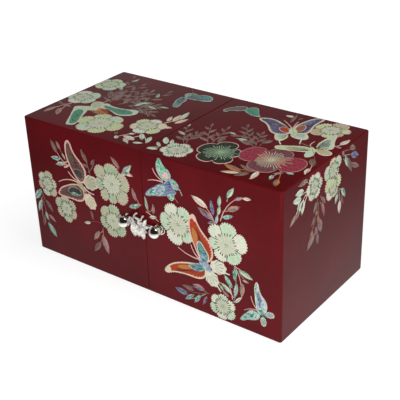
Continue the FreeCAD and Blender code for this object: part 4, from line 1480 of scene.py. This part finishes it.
def cast_petal(bm, hollow, root, tip, half_width, lift):
    """A pointed petal, dished between raised rims, with a rib down its middle."""
    grid = bmesh.ops.create_grid(bm, x_segments=16, y_segments=14, size=0.5)["verts"]
    run = Vector(tip) - Vector(root)
    across = Vector((-run.y, run.x)).normalized()
    for vert in grid:
        u, v = vert.co.x + 0.5, vert.co.y * 2
        width = half_width * math.sin(math.pi * (0.05 + 0.95 * u) ** 1.2) ** 0.7
        place = Vector(root) + run * u + across * v * width
        rim = PETAL_RIM_HEIGHT * math.exp(-(((abs(v) - PETAL_RIM_PLACE) / PETAL_RIM_WIDTH) ** 2))
        rib = PETAL_RIB_HEIGHT * math.exp(-((v / PETAL_RIB_WIDTH) ** 2)) * (1 - u)
        dish = -PETAL_DISH * (1 - v * v) * math.sin(math.pi * u)
        arch = PETAL_ARCH * math.sin(math.pi * (0.15 + 0.75 * u))
        # How far into the middle of the dish a point lies; the metal is mottled darker there.
        vert[hollow] = max(0.0, 1 - abs(v) * 1.15) * math.sin(math.pi * u)
        vert.co = Vector((*place, lift + rim + rib + dish + arch))
    faces = list({f for v in grid for f in v.link_faces})
    bmesh.ops.solidify(bm, geom=faces, thickness=PETAL_THICKNESS)


def make_blossom():
    bm = bmesh.new()
    hollow = bm.verts.layers.float.new("hollow")
    for i, (root, tip, half_width) in enumerate(PETALS):
        cast_petal(bm, hollow, root, tip, half_width, BLOSSOM_LIFT + 0.25 * (i % 3))
    for start, bend, end in TENDRILS:
        for t in (k / TENDRIL_STEPS for k in range(TENDRIL_STEPS + 1)):
            here = along(Vector(start), Vector(bend), Vector(end), t)
            bead = bmesh.ops.create_icosphere(bm, subdivisions=2, radius=0.5 + 0.35 * t**3)["verts"]
            bmesh.ops.translate(bm, vec=(here.x, here.y, BLOSSOM_LIFT + 0.8 * t), verts=bead)
    heart = bmesh.ops.create_uvsphere(bm, u_segments=20, v_segments=12, radius=1.3)["verts"]
    bmesh.ops.scale(bm, vec=(1, 1, 0.7), verts=heart)
    bmesh.ops.translate(bm, vec=(*HEART, 2.2), verts=heart)
    bmesh.ops.scale(bm, vec=(MM, MM, MM), verts=bm.verts)
    bmesh.ops.translate(bm, vec=(0, 0, arm_face), verts=bm.verts)
    bmesh.ops.transform(bm, matrix=facing_front(0, knob_z), verts=bm.verts)
    bmesh.ops.recalc_face_normals(bm, faces=bm.faces)
    blossom = piece("cast_blossom", bm, "latch", [cast_metal], ["clasp_flower"])
    shade_smooth(blossom, 50)


make_blossom()

# The hinges. Two brass butt hinges let into the rims of the back boards, with knuckles on
# a pin behind the seam. Small slotted screws hold their leaves, and show when open.

BRASS = "c9a04e"
BRASS_DULL = "8a6a33"
SCREW_RADIUS = 1.5 * MM
SCREW_DROP = 3.2 * MM
SLOT = 0.4 * MM
SLOT_FLOOR = 0.05 * MM
HEAD_HEIGHT = 0.12 * MM
SEAT = 0.2 * MM


def make_brass():
    material, tree, surface = new_material("polished_brass", {"Metallic": 1.0})
    aged = use_group(tree, mottle, {"Scale": 180.0, "Dark": colour(BRASS_DULL), "Light": colour(BRASS)})
    touch = use_group(tree, handling, {"Scale": 700.0, "Smooth": 0.14, "Scuffed": 0.3})
    connect(tree, surface, {"Base Color": aged["Color"], "Roughness": touch["Roughness"]})
    return material


brass = make_brass()
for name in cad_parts:
    if "hinge" in name:
        use_material(name, brass)


def make_screw_part(bm, place, half, height):
    """A disc, or the half of it on one side of the slot."""
    head = bmesh.new()
    bmesh.ops.create_circle(head, cap_ends=True, segments=28, radius=SCREW_RADIUS)
    if half:
        bmesh.ops.bisect_plane(
            head,
            geom=list(head.verts) + list(head.edges) + list(head.faces),
            plane_co=(0, half * SLOT / 2, 0),
            plane_no=(0, -half, 0),
            clear_outer=True,
        )
    raised = bmesh.ops.extrude_face_region(head, geom=list(head.faces))["geom"]
    lifted = [v for v in raised if isinstance(v, bmesh.types.BMVert)]
    bmesh.ops.translate(head, vec=(0, 0, height), verts=lifted)
    bmesh.ops.transform(head, matrix=place, verts=head.verts)
    bmesh.ops.recalc_face_normals(head, faces=head.faces)
    part = bpy.data.meshes.new("head")
    head.to_mesh(part)
    head.free()
    bm.from_mesh(part)
    bpy.data.meshes.remove(part)


def make_leaf_screws(which, side, sign):
    """Two slotted heads on one leaf, each two half moons over a low disc."""
    low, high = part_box(f"{which}_hinge_{side}_leaf")
    screw_y = box_of[side][1].y - SCREW_DROP
    bm = bmesh.new()
    for share in (0.25, 0.75):
        place = Matrix.Rotation(sign * math.pi / 2, 4, "Y")
        place.translation = Vector((-sign * SEAT, screw_y, low.z + (high.z - low.z) * share))
        make_screw_part(bm, place, 0, SLOT_FLOOR)
        for half in (1, -1):
            make_screw_part(bm, place, half, HEAD_HEIGHT)
    screws = piece(f"{which}_hinge_{side}_screws", bm, f"{side}_box", [brass])
    shade_smooth(screws, 30)


for which in ("lower", "upper"):
    make_leaf_screws(which, "left", 1)
    make_leaf_screws(which, "right", -1)

# The drawers. Each box holds three behind its seam: a lacquered front with a turned pull,
# and a tray of thin dark boards lined with velvet. The top drawer has padded ring rolls.

TRAY = "1c120f"
TRAY_LIGHT = "2b1c16"
VELVET = "3a0a12"
VELVET_PILE = "5a1520"
VELVET_SHEEN = "c06070"
LEVELS = ("lower", "middle", "upper")
PAD_THICKNESS = 2.5 * MM
PAD_EDGE, PAD_CROWN = 0.55, 0.43
RING_ROLLS = 3
ROLL_SHORT = 0.4 * MM
ROLL_EASE = 1.2 * MM
# A pull's outline as shares of the head's radius and of its length.
PULL_OUTLINE = (
    (0, 0), (0.72, 0), (0.72, 0.06), (0.576, 0.12), (0.4, 0.2), (0.36, 0.4), (0.44, 0.58),
    (0.85, 0.68), (1, 0.78), (0.93, 0.88), (0.6, 0.97), (0, 1),
)


def make_tray_wood():
    material, tree, surface = new_material("stained_tray_wood", {"Roughness": 0.5})
    place = add(tree, "ShaderNodeTexCoord").outputs["Object"]
    long_way = add(tree, "ShaderNodeMapping", {"Vector": place, "Scale": (40.0, 400.0, 400.0)})
    grain = {"Vector": long_way.outputs["Vector"], "Scale": 1.0, "Detail": 5.0}
    fibre = add(tree, "ShaderNodeTexNoise", grain).outputs["Fac"]
    bump = add(tree, "ShaderNodeBump", {"Strength": 0.2, "Distance": 0.0001, "Height": fibre})
    tone = mixed(tree, fibre, colour(TRAY), colour(TRAY_LIGHT))
    connect(tree, surface, {"Base Color": tone, "Normal": bump.outputs["Normal"]})
    return material


def make_velvet():
    values = {"Roughness": 0.9, "Sheen Weight": 0.8, "Sheen Roughness": 0.35}
    material, tree, surface = new_material("velvet", values | {"Sheen Tint": colour(VELVET_SHEEN)})
    pile = use_group(tree, mottle, {"Scale": 90.0, "Dark": colour(VELVET), "Light": colour(VELVET_PILE)})
    place = add(tree, "ShaderNodeTexCoord").outputs["Object"]
    nap = add(tree, "ShaderNodeTexNoise", {"Vector": place, "Scale": 2600.0, "Detail": 2.0})
    bump = add(tree, "ShaderNodeBump", {"Strength": 0.5, "Distance": 0.0002, "Height": nap.outputs["Fac"]})
    connect(tree, surface, {"Base Color": pile["Color"], "Normal": bump.outputs["Normal"]})
    return material


tray_wood = make_tray_wood()
velvet = make_velvet()


def make_pull(side, level, sign):
    """A turned knob: a foot ring, a waisted neck and a domed head."""
    node_name = f"{side}_{level}_drawer_pull"
    low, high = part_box(node_name)
    length, head = high.x - low.x, (high.z - low.z) / 2
    bm = lathe([(head * across, length * out) for across, out in PULL_OUTLINE], 36)
    turn = Matrix.Rotation(sign * math.pi / 2, 4, "Y")
    root_x = low.x if sign > 0 else high.x
    turn.translation = Vector((root_x, (low.y + high.y) / 2, (low.z + high.z) / 2))
    bmesh.ops.transform(bm, matrix=turn, verts=bm.verts)
    bmesh.ops.recalc_face_normals(bm, faces=bm.faces)
    body = f"{side}_{level}_drawer"
    shade_smooth(piece(f"{side}_{level}_turned_pull", bm, body, [brass], [node_name]), 40)


def add_ring_roll(bm, middle, radius, length):
    """A padded roll that lies across the drawer, with eased ends."""
    roll = bmesh.ops.create_cone(
        bm, cap_ends=True, segments=36, radius1=radius, radius2=radius, depth=length
    )["verts"]
    turn = Matrix.Rotation(math.pi / 2, 4, "X")
    turn.translation = middle
    bmesh.ops.transform(bm, matrix=turn, verts=roll)
    edges = {e for v in roll for e in v.link_edges}
    bevel(bm, [e for e in edges if abs(e.verts[0].co.y - e.verts[1].co.y) < TOUCH], ROLL_EASE, 4)


def make_lining(side, level, sign):
    """A soft pad that fills the tray, crowned a little, with rolls across the top drawer."""
    node_name = f"{side}_{level}_drawer_lining"
    low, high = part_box(node_name)
    size = high - low
    bm = bmesh.new()
    grid = bmesh.ops.create_grid(bm, x_segments=24, y_segments=26, size=0.5)["verts"]
    for vert in grid:
        u, v = vert.co.x * 2, vert.co.y * 2
        rise = PAD_THICKNESS * (PAD_EDGE + PAD_CROWN * (1 - u**6) * (1 - v**6))
        vert.co = low + Vector((size.x * (u + 1) / 2, size.y * (v + 1) / 2, rise))
    skirt = bmesh.ops.extrude_edge_only(bm, edges=[e for e in bm.edges if e.is_boundary])["geom"]
    for vert in skirt:
        if isinstance(vert, bmesh.types.BMVert):
            vert.co.z = low.z
    bmesh.ops.holes_fill(bm, edges=[e for e in bm.edges if e.is_boundary], sides=0)
    if level == "upper":
        radius = (size.z - PAD_THICKNESS) / 2
        front_x = high.x if sign > 0 else low.x
        for i in range(RING_ROLLS):
            roll_x = front_x - sign * (2 * i + 1) * radius
            middle = Vector((roll_x, (low.y + high.y) / 2, low.z + PAD_THICKNESS + radius))
            add_ring_roll(bm, middle, radius, size.y - ROLL_SHORT)
    bmesh.ops.recalc_face_normals(bm, faces=bm.faces)
    lining = piece(f"{side}_{level}_velvet", bm, f"{side}_{level}_drawer", [velvet], [node_name])
    shade_smooth(lining, 50)


for side, sign in (("left", 1), ("right", -1)):
    for shelf in ("lower_shelf", "upper_shelf"):
        use_material(f"{side}_{shelf}", lacquer)
    for level in LEVELS:
        use_material(f"{side}_{level}_drawer_front", lacquer)
        use_material(f"{side}_{level}_drawer_tray", tray_wood)
        make_pull(side, level, sign)
        make_lining(side, level, sign)

# The base cloths. A square of black felt is glued under each box, a little inside its
# edge, so that the lacquer never touches the table.

FELT = "121012"
FELT_FLUFF = "2b282a"
FELT_CORNER = 3 * MM


def make_felt():
    material, tree, surface = new_material("black_felt", {"Roughness": 0.95, "Sheen Weight": 0.4})
    fluff = use_group(tree, mottle, {"Scale": 900.0, "Dark": colour(FELT), "Light": colour(FELT_FLUFF)})
    bump = add(tree, "ShaderNodeBump", {"Strength": 0.6, "Distance": 0.0002, "Height": fluff["Mask"]})
    connect(tree, surface, {"Base Color": fluff["Color"], "Normal": bump.outputs["Normal"]})
    return material


felt = make_felt()


def make_base_cloth(side):
    node_name = f"{side}_base_felt"
    low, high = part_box(node_name)
    size = high - low
    bm = bmesh.new()
    block(bm, size, (high + low) / 2)
    uprights = [e for e in bm.edges if abs(e.verts[0].co.z - e.verts[1].co.z) > TOUCH]
    bevel(bm, uprights, FELT_CORNER, 5)
    cloth = piece(f"{side}_base_cloth", bm, f"{side}_box", [felt], [node_name])


make_base_cloth("left")
make_base_cloth("right")

# The stage. The boxes stand on a pale table in a white tent that is dim overhead, under soft
# lamps, with the camera where the photograph was taken from. Shiny pieces mirror a lit pool
# on the table near the boxes, as in the photograph.

CAMERA_PLACE = Vector((0.3892, -0.4872, 0.3861))
CAMERA_RIGHT = Vector((0.79905, 0.60026, -0.03484))
CAMERA_DOWN = Vector((0.25715, -0.39354, -0.88261))
LENS = 80.07
TABLE = "a4a4a4"
WHITE = (1, 1, 1, 1)
# How much of its own light the table adds to what the camera sees near the boxes. It is
# all white beyond the second of the two distances.
WHITE_SHARE = 0.8
PALE_NEAR, PALE_FAR = 0.2, 0.5
# The pool's strength, and the distances over which it fades.
POOL_SHARE = 0.75
POOL_NEAR, POOL_FAR = 0.12, 0.32
# Along this direction the tent fades from pale to dim.
CEILING_SLOPE = (0.21, -0.28, 1.0)
CEILING_START = 0.13
TENT_PALE, TENT_DIM = (0.6, 0.6, 0.6, 1), (0.015, 0.015, 0.015, 1)
# Each lamp's place, target, size in metres and watts, and whether shiny pieces mirror it.
LAMPS = {
    "key": ((0.36, -0.62, 0.28), (0.04, 0, 0.05), 0.3, 4.6, False),
    "side": ((0.7, -0.15, 0.35), (0.1, 0, 0.06), 0.3, 1.15, False),
    "fill": ((-0.8, -1.0, 0.7), (0, 0, 0.05), 0.9, 0.4, False),
    "overhead": ((0.5, 0.28, 1.35), (0, 0, 0.06), 0.9, 10.0, True),
}


def computed(tree, operation, first, second):
    return add(tree, "ShaderNodeMath", {0: first, 1: second}, operation=operation).outputs[0]


def make_table():
    bm = bmesh.new()
    bmesh.ops.create_circle(bm, cap_ends=True, segments=96, radius=3.0)
    mesh = bpy.data.meshes.new("table")
    bm.to_mesh(mesh)
    bm.free()
    table = bpy.data.objects.new("table", mesh)
    bpy.context.scene.collection.objects.link(table)
    values = {"Base Color": colour(TABLE), "Roughness": 1.0, "Specular IOR Level": 0.0}
    material, tree, surface = new_material("pale_table", values | {"Emission Color": WHITE})
    path = add(tree, "ShaderNodeLightPath").outputs
    place = add(tree, "ShaderNodeTexCoord").outputs["Object"]
    away = add(tree, "ShaderNodeVectorMath", {0: place}, operation="LENGTH").outputs["Value"]
    fade = {"Value": away, "From Min": POOL_FAR, "From Max": POOL_NEAR}
    lit = add(tree, "ShaderNodeMapRange", fade).outputs["Result"]
    mirrored = computed(tree, "MAXIMUM", path["Is Glossy Ray"], path["Is Transmission Ray"])
    pool = computed(tree, "MULTIPLY", computed(tree, "MULTIPLY", mirrored, lit), POOL_SHARE)
    fade = {"Value": away, "From Min": PALE_NEAR, "From Max": PALE_FAR, "To Min": WHITE_SHARE, "To Max": 1.0}
    paler = add(tree, "ShaderNodeMapRange", fade).outputs["Result"]
    seen = computed(tree, "MULTIPLY", path["Is Camera Ray"], paler)
    connect(tree, surface, {"Emission Strength": computed(tree, "MAXIMUM", seen, pool)})
    mesh.materials.append(material)


def make_world():
    """White to the camera. To all else pale low down, where table and tent meet, and dim above."""
    world = bpy.data.worlds.new("tent")
    bpy.context.scene.world = world
    world.use_nodes = True
    tree = world.node_tree
    direction = add(tree, "ShaderNodeTexCoord").outputs["Generated"]
    slope = add(tree, "ShaderNodeVectorMath", {0: direction, 1: CEILING_SLOPE}, operation="DOT_PRODUCT")
    light = ramp(tree, slope.outputs["Value"], [(0.0, TENT_PALE), (CEILING_START, TENT_DIM)])
    seen = add(tree, "ShaderNodeLightPath").outputs["Is Camera Ray"]
    connect(tree, tree.nodes["Background"], {"Color": mixed(tree, seen, light, WHITE)})


def make_lamp(name, place, target, size, watts, mirrored):
    light = bpy.data.lights.new(name, "AREA")
    light.shape = "SQUARE"
    light.size = size
    light.energy = watts
    lamp = bpy.data.objects.new(name, light)
    bpy.context.scene.collection.objects.link(lamp)
    lamp.visible_glossy = mirrored
    lamp.location = place
    lamp.rotation_euler = (Vector(target) - Vector(place)).to_track_quat("-Z", "Y").to_euler()


def make_camera():
    camera = bpy.data.objects.new("camera", bpy.data.cameras.new("camera"))
    bpy.context.scene.collection.objects.link(camera)
    camera.data.lens = LENS
    camera.data.sensor_width = 36
    camera.data.clip_start = 0.01
    up = -CAMERA_DOWN
    turn = Matrix((CAMERA_RIGHT, up, CAMERA_RIGHT.cross(up))).transposed().to_4x4()
    turn.translation = CAMERA_PLACE
    camera.matrix_world = turn
    bpy.context.scene.camera = camera


make_table()
make_world()
for name, settings in LAMPS.items():
    make_lamp(name, *settings)
make_camera()
bpy.context.scene.view_settings.view_transform = "Standard"

bpy.context.view_layer.update()
